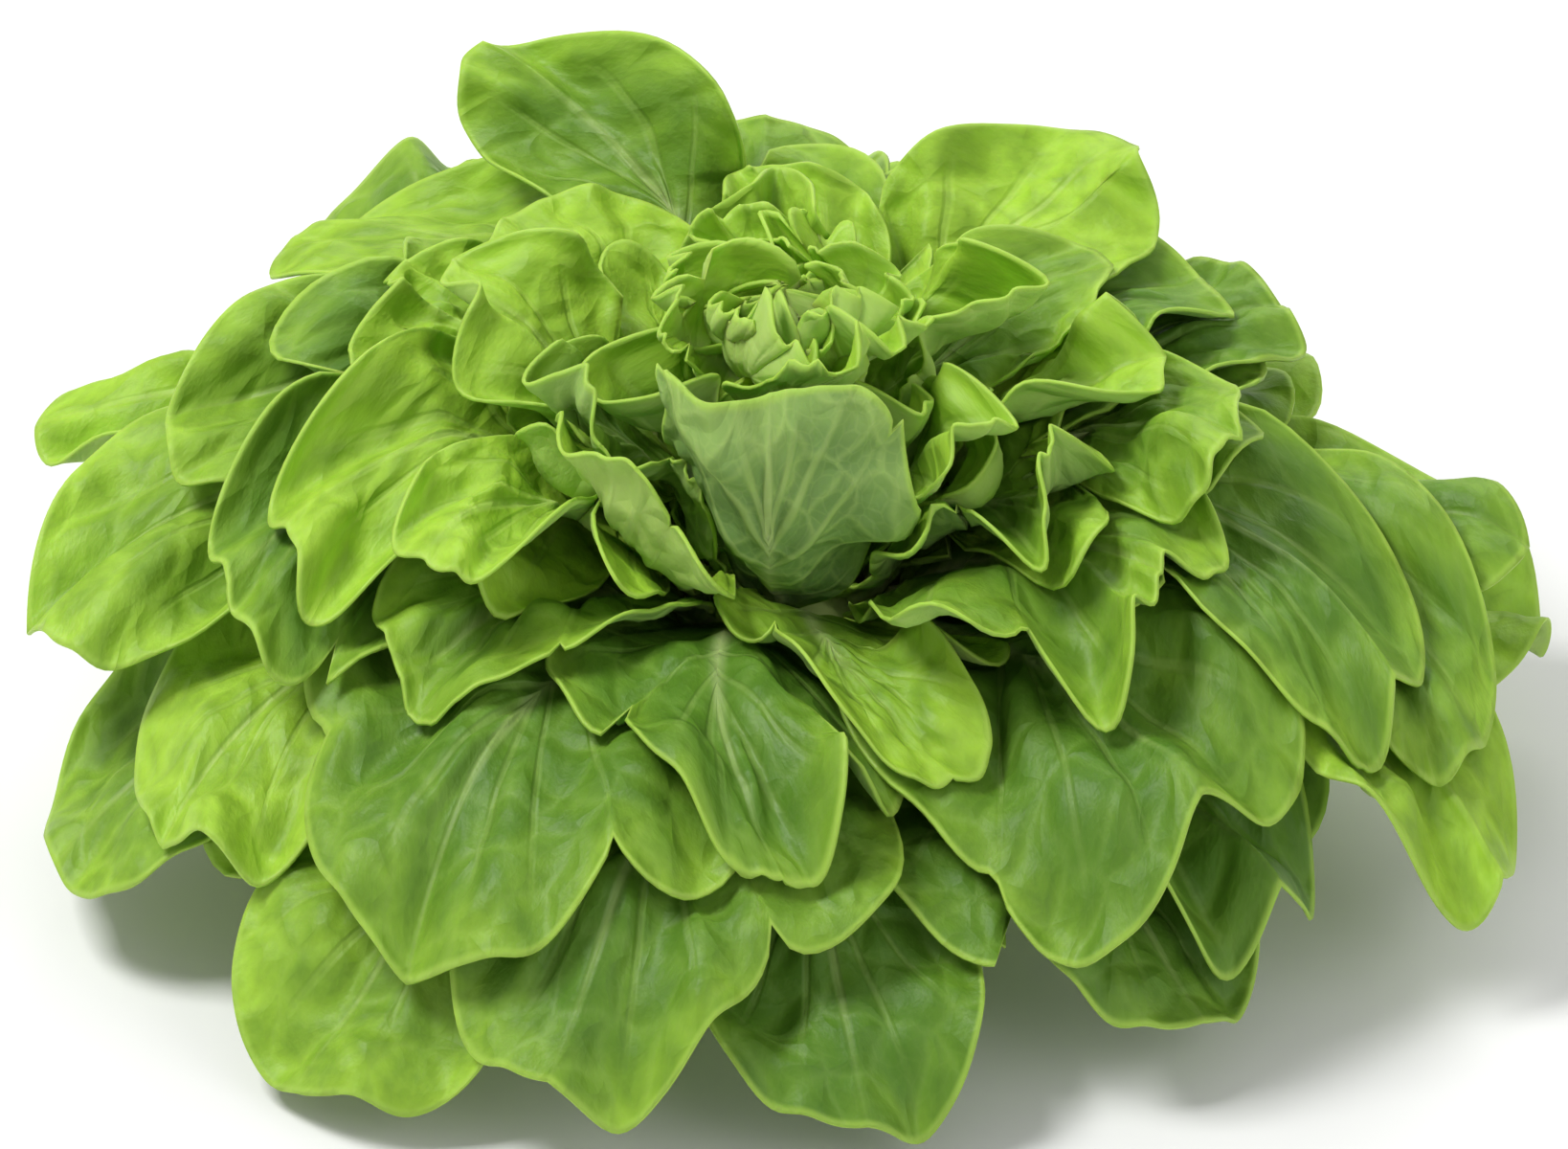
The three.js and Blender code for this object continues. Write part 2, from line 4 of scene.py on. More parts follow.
import bmesh
import bpy
import numpy as np
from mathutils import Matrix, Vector


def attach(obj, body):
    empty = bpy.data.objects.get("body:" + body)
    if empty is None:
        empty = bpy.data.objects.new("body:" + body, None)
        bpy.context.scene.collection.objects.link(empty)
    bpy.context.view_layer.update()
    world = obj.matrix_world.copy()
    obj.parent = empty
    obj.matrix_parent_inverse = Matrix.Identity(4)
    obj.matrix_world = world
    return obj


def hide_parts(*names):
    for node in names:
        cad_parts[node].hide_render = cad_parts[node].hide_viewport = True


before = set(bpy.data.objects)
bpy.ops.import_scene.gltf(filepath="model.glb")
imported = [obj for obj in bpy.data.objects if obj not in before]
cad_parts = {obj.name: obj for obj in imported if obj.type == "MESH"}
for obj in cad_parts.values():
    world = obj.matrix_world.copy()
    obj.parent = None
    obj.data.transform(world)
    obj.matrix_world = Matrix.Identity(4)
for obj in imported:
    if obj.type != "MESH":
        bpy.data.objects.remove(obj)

bl_info = {
    "name": "Oak leaf lettuce",
    "version": (1, 0, 0),
    "blender": (4, 5, 0),
    "location": "3D View > Sidebar > Lettuce",
    "description": "Builds a head of oak leaf lettuce leaf by leaf",
    "category": "Object",
}

TAU = 2 * math.pi

# Stem and crown, in millimetres. The outline of the round knob starts at KNOB_START degrees of rise.
CROWN_HEIGHT = 34
CUT_RADIUS = 16
STEM_KNOB_RADIUS = 21.4
KNOB_START = -28
KNOB_RINGS = 24
STEM_CORNERS = 72
ROOT_REACH = 22.4

# Leaf outline and blade.
BLADE_THICKNESS = 0.9
RIB_THICKNESS = 2.6
ROOT_HALF_WIDTH = 5
MIDRIB_SHARE = 0.57
LEAF_RINGS = 3
# Spokes turn evenly from square to the midrib at the root (0) to straight ahead at the tip (1).
SPOKES = [0, 0.1, 0.2, 0.27, 0.35, 0.43, 0.5, 0.57, 0.65, 0.74, 0.83, 0.92, 1]
SMALL_SPOKES = [0, 0.1, 0.2, 0.35, 0.5, 0.62, 0.75, 0.88, 1]
LARGE_LEAVES = 26
SMALL_RINGS = 2
SPOKE_TURN = 89
MIDRIB_POWER = 2.2
NOTCHES = [0.2, 0.5]
LOBE_SPREAD = 0.5
LOBE_LIFT = 1.3
WAVE_HEIGHT = 1.1
ARCH = 1.8
# The blade is full by FULL_FROM along the fan of spokes, and from TIP_FROM on its spokes take their length
# from the leaf's own length.
FULL_FROM = 0.34
FULL_SHARE = 1.05
TIP_FROM = 0.5
TIP_SHARE = 0.94

# Leaves past this bearing, at the sides and back, sweep and lean unevenly by up to half of these.
UNEVEN_FROM = 95
UNEVEN_SWEEP = 36
UNEVEN_LEAN = 22

# How the leaves settle on each other. Where two meet, the upper one gives way by UPPER_SHARE of the need.
UPPER_SHARE = 0.4
GROUND_CLEARANCE = 0.8
SPARE_GAP = 0.6
SLOPE_ALLOWANCE = 1.2
# Large leaves may stand up to HEART_RISE degrees at a reach of HEART_NEAR mm, and HEART_OPENING at HEART_FAR.
HEART_RISE = 73
HEART_NEAR = 68
HEART_OPENING = 66
HEART_FAR = 100
BEARING_CELLS = 240
REACH_CELL = 2.5
EDGE_REACH = 0.25
SETTLE_ROUNDS = 90
STIFF_ROUNDS = 60
STIFFNESS = 0.3
BEND_ALONG = 40
BEND_ACROSS = 22

# The fine grid of each visible leaf, and the gap in mm to which the fine leaves are eased apart.
FINE_SPOKES = 60
FINE_RINGS = 20
FINE_ROUNDS = 60
FINE_GAP = 4.0
SIDE_VEINS = 6

# Wide swells of a blade: sine waves in as many directions, with their wavelength and height in mm.
SWELLS = 3
SWELL_SIZE = 30
SWELL_HEIGHT = 1.3

# The leaves from the ground up:
# name, bearing and rise at root and tip (degrees), reach and half width (mm), edge lift (mm), waves (mm),
# lean to the right (mm across the half width), sideways sweep of the tip (degrees), notch depth.
LEAVES = [
    ("low_leaf_front_left", -36, 16, -13, 152, 56, 5, 5, 0, -4, 0.24),
    ("low_leaf_front_right", 3, 14, -12, 132, 50, 6, 5, 0, 4, 0.2),
    ("low_leaf_right", 38, 10, -15, 144, 52, 5, 3, 4, 0, 0.28),
    ("low_leaf_far_right", 92, 14, -6, 149, 52, 6, 8, 4, 6, 0.34),
    ("low_leaf_back_right", 140, 16, -8, 138, 60, 8, 8, 0, -6, 0.28),
    ("low_leaf_back", -176, 18, -8, 132, 60, 8, 8, 0, 6, 0.28),
    ("low_leaf_back_left", -128, 14, -9, 140, 60, 6, 5, 0, -6, 0.28),
    ("low_leaf_left", -78, 12, -16, 168, 60, 5, 3, 0, 12, 0.26),
    ("skirt_leaf_front", -15, 24, -11, 140, 50, 8, 6, 8, -4, 0.24),
    ("skirt_leaf_front_right", 48, 27, -6, 124, 46, 10, 9, -10, 0, 0.28),
    ("skirt_leaf_right", 76, 26, -9, 166, 54, 8, 7, 4, -16, 0.34),
    ("skirt_leaf_side_right", 98, 28, 1, 150, 42, 10, 9, 4, -10, 0.4),
    ("skirt_leaf_back_right", 158, 30, 3, 144, 56, 10, 9, 6, -8, 0.28),
    ("skirt_leaf_back_left", -148, 30, 2, 144, 58, 10, 9, -6, 8, 0.28),
    ("skirt_leaf_side_left", -114, 30, 12, 160, 44, 10, 9, -4, -4, 0.42),
    ("skirt_leaf_front_left", -74, 26, -11, 150, 52, 10, 6, -4, 18, 0.26),
    ("wide_leaf_side_right", 94, 36, 6, 138, 52, 10, 10, -6, -22, 0.32),
    ("wide_leaf_back_right", 132, 38, 8, 134, 54, 10, 10, 6, 8, 0.28),
    ("wide_leaf_back", -178, 38, 10, 126, 56, 10, 10, 0, -8, 0.28),
    ("wide_leaf_back_left", -136, 38, 8, 138, 56, 10, 9, -6, 6, 0.28),
    ("wide_leaf_left", -95, 36, 3, 148, 56, 12, 7, -8, 14, 0.36),
    ("cupped_leaf_front_left", -40, 40, 0, 126, 50, 18, 4, -4, 6, 0.1),
    ("mid_leaf_front", -18, 42, -5, 108, 40, 10, 8, 8, 20, 0.26),
    ("mid_leaf_front_right", 46, 42, 14, 116, 54, 14, 6, 6, -4, 0.14),
    ("mid_leaf_right", 84, 46, 12, 128, 50, 12, 10, 12, -18, 0.34),
    ("mid_leaf_side_right", 108, 46, 12, 118, 50, 10, 10, -6, -8, 0.3),
    ("mid_leaf_back_right", 156, 47, 10, 102, 48, 10, 8, 6, -8, 0.28),
    ("mid_leaf_back_left", -148, 48, 20, 126, 52, 10, 10, -6, 8, 0.36),
    ("mid_leaf_side_left", -110, 48, 22, 130, 52, 12, 9, -8, 6, 0.38),
    ("upright_leaf_left", -92, 46, 8, 134, 52, 16, 5, -12, 30, 0.2),
    ("small_leaf_front_left", -56, 50, 8, 98, 38, 10, 7, 6, 4, 0.2),
    ("folded_leaf_front", 6, 48, 10, 84, 30, 14, 5, -12, 14, 0.26),
    ("ruffled_leaf_right", 62, 55, 20, 104, 46, 12, 10, 8, -8, 0.3),
    ("high_leaf_right", 94, 55, 34, 110, 42, -6, 9, 8, -20, 0.38),
    ("high_leaf_side_right", 124, 56, 30, 112, 46, 10, 10, -6, -6, 0.36),
    ("high_leaf_back", -176, 58, 32, 108, 42, 12, 10, 0, 0, 0.4),
    ("tall_leaf_back_left", -167, 58, 29, 138, 40, 12, 10, 0, 4, 0.36),
    ("high_leaf_back_left", -116, 58, 37, 108, 46, 8, 7, 6, 8, 0.4),
    ("high_leaf_left", -92, 60, 32, 108, 40, 12, 9, -12, 20, 0.42),
    ("high_leaf_front_left", -72, 61, 36, 102, 34, 12, 9, 8, 20, 0.4),
    ("pale_leaf_back_right", 142, 60, 41, 118, 34, 8, 6, 0, 12, 0.2),
    ("pale_leaf_front_left", -44, 26, 44, 92, 34, 6, 4, -8, 0, 0.16),
    ("inner_leaf_front_right", 68, 60, 34, 98, 36, 12, 10, -4, -16, 0.36),
    ("inner_leaf_right", 84, 64, 46, 98, 36, 10, 10, 8, 6, 0.38),
    ("inner_leaf_side_right", 112, 65, 42, 92, 32, 10, 9, -6, -6, 0.36),
    ("inner_leaf_back", 162, 65, 46, 100, 38, 10, 9, 0, 6, 0.38),
    ("inner_leaf_back_left", -136, 66, 46, 102, 40, 8, 7, 6, 6, 0.42),
    ("inner_leaf_side_left", -100, 67, 50, 98, 34, 10, 8, -6, 6, 0.4),
    ("curled_leaf_left", -68, 68, 52, 92, 30, 10, 9, 0, 8, 0.28),
    ("veined_leaf_front", -4, 30, 66, 104, 46, 5, 2, 8, 0, 0.1),
    ("narrow_leaf_front_right", 50, 60, 58, 96, 24, 8, 9, 10, 0, 0.28),
    ("crown_leaf_front_right", 42, 72, 66, 82, 22, 8, 8, -8, 6, 0.3),
    ("crown_leaf_back_right", 118, 71, 60, 92, 28, 8, 9, 6, -6, 0.3),
    ("crown_leaf_back", -172, 71, 56, 92, 28, 8, 9, -6, 6, 0.3),
    ("crown_leaf_front_left", -60, 72, 66, 82, 22, 8, 8, 0, -6, 0.3),
]

# The heart: small crowded leaves round a centre of their own, each turned by HEART_TURN degrees from the
# last. Their rise in degrees, reach and half width in mm change from the outermost to the innermost.
HEART_TURN = 137.5
HEART_HEIGHT = 90
HEART_ROOT_REACH = 7
HEART_MARGIN = 2
HEART_LEAVES = 18
HEART_RISES = 36, 74
HEART_REACHES = 42, 22
HEART_HALF_WIDTHS = 19, 12
HEART_LEAN = 16
HEART_SPOKES = 30
HEART_RINGS = 8
HEART_RUFFLE = 1.8, 4.0

# How yellow each leaf is, from 0 (dark green) to 1 (yellow-green). Two listed leaves that lie in shade get a
# darker tone, which is painted shade. The others go by their place in the head, from the lowest to the
# highest of
# PLAIN_TONES, and differ by up to half of TONE_SPREAD.
PLAIN_TONES = 0.2, 0.6
TONE_SPREAD = 0.7
TONES_AND_SHADE = {
    "low_leaf_front_left": 0.45,
    # Painted shade: this leaf is set darker because it lies in shade in the gap at the front.
    "low_leaf_front_right": -0.05,
    "low_leaf_right": 0.0,
    "low_leaf_far_right": 0.5,
    "low_leaf_left": 0.3,
    # Painted shade: this leaf is set darker because it lies in shade in the gap at the front.
    "skirt_leaf_front": 0.15,
    "skirt_leaf_front_right": 0.0,
    "skirt_leaf_right": 0.65,
    "skirt_leaf_side_right": 0.25,
    "skirt_leaf_side_left": 1.1,
    "skirt_leaf_front_left": 0.7,
    "wide_leaf_side_right": 0.2,
    "wide_leaf_back_left": 0.25,
    "wide_leaf_left": 0.5,
    "cupped_leaf_front_left": 0.15,
    "mid_leaf_front": 0.05,
    "mid_leaf_front_right": 0.1,
    "mid_leaf_right": 0.12,
    "mid_leaf_side_right": 0.05,
    "mid_leaf_back_right": 0.1,
    "mid_leaf_back_left": 0.6,
    "mid_leaf_side_left": 0.35,
    "upright_leaf_left": 0.1,
    "small_leaf_front_left": 0.3,
    "folded_leaf_front": 0.55,
    "ruffled_leaf_right": 0.35,
    "high_leaf_right": 0.35,
    "high_leaf_side_right": 0.1,
    "high_leaf_back": 0.2,
    "tall_leaf_back_left": 0.3,
    "high_leaf_back_left": 0.75,
    "high_leaf_left": 0.8,
    "high_leaf_front_left": 0.85,
    "pale_leaf_back_right": 1.2,
    "pale_leaf_front_left": 0.95,
    "inner_leaf_side_right": 0.3,
    "inner_leaf_back_left": 0.8,
    "inner_leaf_side_left": 0.8,
    "veined_leaf_front": 0.1,
}

# Height in mm of the small waves of a leaf's edge, and how far its rim rolls up.
PLAIN_RUFFLE = 1.6, 1.5
RUFFLES = {
    "cupped_leaf_front_left": (0.6, 3.0),
    "upright_leaf_left": (0.8, 3.5),
    "veined_leaf_front": (0.6, 0.5),
    "pale_leaf_front_left": (0.6, 0.5),
    "high_leaf_back_left": (0.8, 1.0),
    "ruffled_leaf_right": (3.2, 3.0),
    "narrow_leaf_front_right": (3.0, 3.0),
    "inner_leaf_front_right": (3.0, 3.0),
    "curled_leaf_left": (3.0, 4.0),
    "crown_leaf_front_left": (2.6, 4.0),
    "crown_leaf_front_right": (2.6, 4.0),
    "crown_leaf_back": (2.6, 3.0),
    "crown_leaf_back_right": (2.6, 3.0),
}


def mix(a, b, share):
    return a + (b - a) * share


def smooth(x):
    return x * x * (3 - 2 * x)


def chance(leaf, purpose):
    """A repeatable draw from 0 to 1 for the given leaf and purpose."""
    wave = math.sin(leaf * 12.9898 + purpose * 78.233) * 43758.5453
    return wave - math.floor(wave)


def heart_limit(reach):
    """The rise in radians up to which large leaves may stand. The heart has the room inside."""
    share = smooth(np.clip((reach - HEART_NEAR) / (HEART_FAR - HEART_NEAR), 0, 1))
    return np.radians(mix(HEART_RISE, HEART_OPENING, share))


def polar_points(bearing, reach, rise, height):
    out = reach * np.cos(rise)
    return np.stack([out * np.sin(bearing), -out * np.cos(bearing), height + reach * np.sin(rise)], axis=-1)


class Leaf:
    """A leaf on a grid: rows are spokes from root to tip, and columns run from its left edge over the midrib
    to its right edge. p runs from root to tip and q across, in mm."""

    def __init__(self, number, row, spokes, outs, centre=CROWN_HEIGHT, root_reach=ROOT_REACH):
        self.name, self.root_bearing, self.root_rise, self.tip_rise, self.reach_mm, self.half_width = row[:6]
        self.edge_lift, self.waves, self.lean, self.sweep, self.notch_depth = row[6:]
        self.number = number
        if abs(self.root_bearing) > UNEVEN_FROM:
            self.sweep += UNEVEN_SWEEP * (chance(number, 71) - 0.5)
            self.lean += UNEVEN_LEAN * (chance(number, 72) - 0.5)
        self.centre = centre
        self.root_reach = root_reach
        self.length = self.reach_mm - root_reach
        self.spokes = np.asarray(spokes, float)
        self.outs = np.concatenate([-np.asarray(outs, float)[:0:-1], outs])
        self.fan = np.repeat(self.spokes[:, None], self.outs.size, axis=1)
        self.out = np.abs(self.outs)[None, :] + 0 * self.fan
        self.side = np.where(self.outs < 0, -1, 1)[None, :] + 0 * self.fan
        self.side[-1] = 1
        self.spoke = self.spoke_length() * self.out
        turn = np.radians(SPOKE_TURN * (1 - self.fan))
        midrib = self.length * MIDRIB_SHARE * (1 - (1 - self.fan) ** MIDRIB_POWER)
        self.p = midrib + self.spoke * np.cos(turn)
        self.q = self.side * self.spoke * np.sin(turn)
        self.lift = np.zeros_like(self.p)
        self.lay_out()

    def draw(self, lobe, side, purpose):
        """A repeatable draw for one lobe. Both sides share the lobe at the tip."""

        def own(n, way):
            return chance(self.number, purpose + 3 * n + (way if n < len(NOTCHES) else 0))

        return np.vectorize(own)(lobe, side)

    def lobe_at(self):
        """Which lobe each point is in, and how far it is from the middle of the lobe, 1 at its notches."""
        bounds = np.array([2 * NOTCHES[0] - NOTCHES[1], *NOTCHES, 2 - NOTCHES[-1]])
        lobe = np.searchsorted(NOTCHES, self.fan, side="right")
        start, end = bounds[lobe], bounds[lobe + 1]
        away = (2 * self.fan - start - end) / (end - start)
        return lobe, np.where((lobe == 0) & (away < 0), 0, np.minimum(np.abs(away), 1))

    def spoke_length(self):
        """The length of each spoke in mm. Notches part the edge into round lobes of different lengths."""
        lobe, away = self.lobe_at()
        full = self.half_width * FULL_SHARE
        wide = mix(ROOT_HALF_WIDTH, full, smooth(np.minimum(self.fan / FULL_FROM, 1)))
        tip = TIP_SHARE * self.length * (1 - MIDRIB_SHARE)
        plain = mix(wide, tip, smooth(np.maximum((self.fan - TIP_FROM) / (1 - TIP_FROM), 0)))
        spread = 1 + LOBE_SPREAD * (self.draw(lobe, self.side, 61) - 0.5) * (1 - away**2)
        depth = self.notch_depth * (0.6 + 1.2 * self.draw(lobe, self.side, 65))
        return plain * spread * (1 - depth * (1 - np.sqrt(1 - away**2)))

    def wave(self, side):
        """The waves along one edge. Towards the tip those of both edges blend into one."""
        start = chance(self.number, 11 + side)
        count = 1.3 + 0.8 * chance(self.number, 17 + side)
        return np.sin(TAU * (count * self.fan + start))

    def relief(self):
        """How far each point stands above the leaf's plain curve, in mm."""
        across = self.q / self.half_width
        cup = self.edge_lift * (across * across + self.out * self.out) / 2
        left, right = self.wave(-1), self.wave(1)
        blend = smooth(np.clip((self.fan - 0.75) / 0.25, 0, 1))
        wave = mix(np.where(self.side > 0, right, left), (left + right) / 2, blend)
        lobe, away = self.lobe_at()
        lobe_lift = LOBE_LIFT * (2 * self.draw(lobe, self.side, 81) - 1) * (1 - away**2)
        wave = WAVE_HEIGHT * (wave + lobe_lift) * self.waves * self.out**1.4
        return (cup + self.lean * across + wave) * smooth(np.clip(2 * self.p / self.length, 0, 1))

    def lay_out(self):
        share = self.p / self.length
        rise = np.radians(mix(self.root_rise, self.tip_rise, np.maximum(share, 0) ** ARCH))
        # The blade is straight across, so its sides reach further out than its midrib.
        out = (self.root_reach + self.p) * np.cos(rise)
        height = (self.root_reach + self.p) * np.sin(rise)
        self.reach = np.sqrt(out * out + self.q * self.q + height * height)
        self.rise = np.arctan2(height, np.hypot(out, self.q)) + self.relief() / self.reach
        self.bearing = np.radians(self.root_bearing + self.sweep * share * share) + np.arctan2(self.q, out)
        rib = RIB_THICKNESS * np.exp(-self.p / (0.45 * self.length))
        self.thickness = BLADE_THICKNESS + np.maximum(rib - BLADE_THICKNESS, 0) * (1 - self.out) ** 2

    def middle(self):
        """The middle surface in mm."""
        return polar_points(self.bearing, self.reach, self.rise + self.lift, self.centre)

    def match_tip(self):
        """Gives the left half of the last spoke the lifts of its right half, which is the same line."""
        middle = self.outs.size // 2
        self.lift[-1, :middle] = self.lift[-1, : middle : -1]

    def corner_ids(self):
        """The number of each grid point. Both sides share the points of the last spoke, at the tip."""
        rows, columns = self.p.shape
        ids = np.arange(rows * columns).reshape(rows, columns)
        middle = columns // 2
        ids[-1] = ids[-1, middle] + np.abs(np.arange(columns) - middle)
        return ids

    def spread(self):
        """For each point, how much every other point of the leaf shares in its bending."""
        p, q = self.p.ravel(), self.q.ravel()
        counted = np.ones_like(self.p)
        counted[-1, : self.outs.size // 2] = 0
        far = np.hypot((p[:, None] - p) / BEND_ALONG, (q[:, None] - q) / BEND_ACROSS)
        shares = np.maximum(1 - far, 0) * counted.ravel()
        return shares / shares.sum(axis=1, keepdims=True)

    def triangles(self):
        """Pairs of triangles between neighbouring spokes, as the numbers of their corners."""
        ids = self.corner_ids()
        middle = self.outs.size // 2
        faces = []
        for k in range(ids.shape[0] - 1):
            for side in (-1, 1):
                for r in range(middle):
                    near = ids[k, middle + side * r], ids[k, middle + side * (r + 1)]
                    far = ids[k + 1, middle + side * r], ids[k + 1, middle + side * (r + 1)]
                    if side > 0:
                        faces += [(far[0], far[1], near[0]), (far[1], near[1], near[0])]
                    else:
                        faces += [(near[0], near[1], far[1]), (near[0], far[1], far[0])]
        return faces

    def cells(self):
        """The cells of bearing and reach that the leaf covers, each with the three points round it and their
        shares. Cells just past the edge count too, so that edges keep their distance."""
        found = {}
        x_all = (self.bearing / (TAU / BEARING_CELLS)).ravel()
        y_all = (self.reach / REACH_CELL).ravel()
        out_all = self.out.ravel()
        for corners in self.triangles():
            index = list(corners)
            xa, xb, xc = x_all[index]
            ya, yb, yc = y_all[index]
            area = (xb - xa) * (yc - ya) - (xc - xa) * (yb - ya)
            if area == 0:
                continue
            slack = EDGE_REACH if (out_all[index] == 1).any() else 0
            i = np.arange(math.floor(min(xa, xb, xc) - 1), math.ceil(max(xa, xb, xc) + 1) + 1)
            j = np.arange(max(math.floor(min(ya, yb, yc) - 1), 0), math.ceil(max(ya, yb, yc) + 1) + 1)
            x, y = np.meshgrid(i + 0.5, j + 0.5, indexing="ij")
            u = ((xb - x) * (yc - y) - (xc - x) * (yb - y)) / area
            v = ((xc - x) * (ya - y) - (xa - x) * (yc - y)) / area
            inside = np.minimum(np.minimum(u, v), 1 - u - v)
            for n, m in np.argwhere(inside >= -slack):
                key = int(i[n] % BEARING_CELLS) * 1000 + int(j[m])
                fit = min(inside[n, m], 0)
                if key not in found or found[key][0] < fit:
                    shares = (u[n, m], v[n, m], 1 - u[n, m] - v[n, m])
                    found[key] = (fit, corners, shares, (j[m] + 0.5) * REACH_CELL)
        return found


def settle(leaves):
    """Settles the leaves on each other. In every cell the leaves keep their order, and where two come too
    close the lower is pressed down and the upper is raised by the same angle."""
    firsts = np.cumsum([0] + [leaf.p.size for leaf in leaves])
    keys, owners, corners, shares, reaches = [], [], [], [], []
    for number, leaf in enumerate(leaves):
        for key, (_, points, parts, reach) in leaf.cells().items():
            keys.append(key)
            owners.append(number)
            corners.append([firsts[number] + point for point in points])
            shares.append(parts)
            reaches.append(reach)
    order = np.lexsort((owners, keys))
    keys, corners, shares, reaches = (np.array(rows)[order] for rows in (keys, corners, shares, reaches))
    plain = np.concatenate([leaf.rise.ravel() for leaf in leaves])
    thick = np.concatenate([leaf.thickness.ravel() for leaf in leaves])
    thickness = np.maximum((thick[corners] * shares).sum(axis=1), BLADE_THICKNESS)
    drop = (GROUND_CLEARANCE + thickness - CROWN_HEIGHT) / reaches
    ground = np.where(drop > -1, np.arcsin(np.clip(drop, -1, 1)), -math.pi / 2)
    ceiling = heart_limit(reaches)
    above = np.flatnonzero(keys[1:] == keys[:-1]) + 1
    apart = (SLOPE_ALLOWANCE * (thickness[above] + thickness[above - 1]) / 2 + SPARE_GAP) / reaches[above]
    reachable = np.clip(2.5 * shares, 0, 1)
    spreads = [leaf.spread() for leaf in leaves]
    lift = np.zeros_like(plain)
    for turn in range(SETTLE_ROUNDS):
        now = ((plain + lift)[corners] * shares).sum(axis=1)
        short = apart - (now[above] - now[above - 1])
        close = short > 0
        pushes = [
            (np.flatnonzero(now < ground), (ground - now)[now < ground]),
            (np.flatnonzero(now > ceiling), (ceiling - now)[now > ceiling]),
            (above[close], short[close] * UPPER_SHARE),
            (above[close] - 1, -short[close] * (1 - UPPER_SHARE)),
        ]
        up, down = np.zeros_like(lift), np.zeros_like(lift)
        for rows, angles in pushes:
            values = angles[:, None] * reachable[rows]
            np.maximum.at(up, corners[rows], np.maximum(values, 0))
            np.minimum.at(down, corners[rows], np.minimum(values, 0))
        lift += up + down
        if turn < STIFF_ROUNDS:
            ease = STIFFNESS * (1 - turn / STIFF_ROUNDS)
            for number, spread in enumerate(spreads):
                part = slice(firsts[number], firsts[number + 1])
                lift[part] = mix(lift[part], spread @ lift[part], ease)
    for number, leaf in enumerate(leaves):
        leaf.lift = lift[firsts[number] : firsts[number + 1]].reshape(leaf.p.shape)
        leaf.match_tip()


def curve_through(values, knots, at):
    """Smooth curves through the rows of values, which lie at the knots, read at other places."""
    slopes = np.gradient(values, knots, axis=0)
    i = np.clip(np.searchsorted(knots, at, side="right") - 1, 0, knots.size - 2)
    step = (knots[i + 1] - knots[i])[:, None]
    t = ((at - knots[i]) / (knots[i + 1] - knots[i]))[:, None]
    start = (2 * t**3 - 3 * t**2 + 1) * values[i] + (t**3 - 2 * t**2 + t) * slopes[i] * step
    return start + (3 * t**2 - 2 * t**3) * values[i + 1] + (t**3 - t**2) * slopes[i + 1] * step


class FineLeaf(Leaf):
    """The same leaf on a fine grid, with its smaller waves, rolled rim and vein lines."""

    def __init__(self, coarse, row, spokes, rings, ruffle, curl):
        outs = 1 - (1 - np.linspace(0, 1, rings + 1)) ** 1.3
        self.ruffle, self.curl = ruffle, curl
        places = np.linspace(0, 1, spokes + 1)
        super().__init__(coarse.number, row, places, outs, coarse.centre, coarse.root_reach)
        rows = curve_through(coarse.lift, coarse.spokes, self.spokes)
        self.lift = curve_through(rows.T, coarse.outs, self.outs).T
        self.edge_mm = self.spoke_length() * (1 - self.out)

    def relief(self):
        ends = smooth(np.clip((1 - self.fan) / 0.25, 0, 1))
        small = 0
        for size, count in ((1.0, 3.2), (0.4, 6.5)):
            for side in (-1, 1):
                start = chance(self.number, 31 + side + count)
                wave = size * np.sin(TAU * (count * self.fan + start))
                small = small + np.where(self.side == side, wave * ends, 0)
        swells = 0
        for turn in range(SWELLS):
            way = math.pi * (turn + chance(self.number, 43 + turn)) / SWELLS
            along = self.p * math.cos(way) + self.q * math.sin(way)
            swells = swells + np.sin(TAU * (along / SWELL_SIZE + chance(self.number, 47 + turn)))
        swells = SWELL_HEIGHT * swells * np.clip(self.out * 2, 0, 1)
        rim = np.clip((self.out - 0.6) / 0.4, 0, 1) ** 2
        roll = self.curl * rim * (0.6 + 0.4 * np.sin(TAU * (2 * self.fan + chance(self.number, 41))))
        fade = smooth(np.clip(2 * self.p / self.length, 0, 1))
        return super().relief() + (self.ruffle * small * self.out**2.5 + swells + roll) * fade

    def vein_mm(self):
        """Distance in mm from each point to the nearest side vein."""
        gauge = np.hypot(np.gradient(self.p, axis=0), np.gradient(self.q, axis=0)) * (self.spokes.size - 1)
        near = 0.5 - np.abs((self.fan * SIDE_VEINS) % 1 - 0.5)
        return near / SIDE_VEINS * gauge


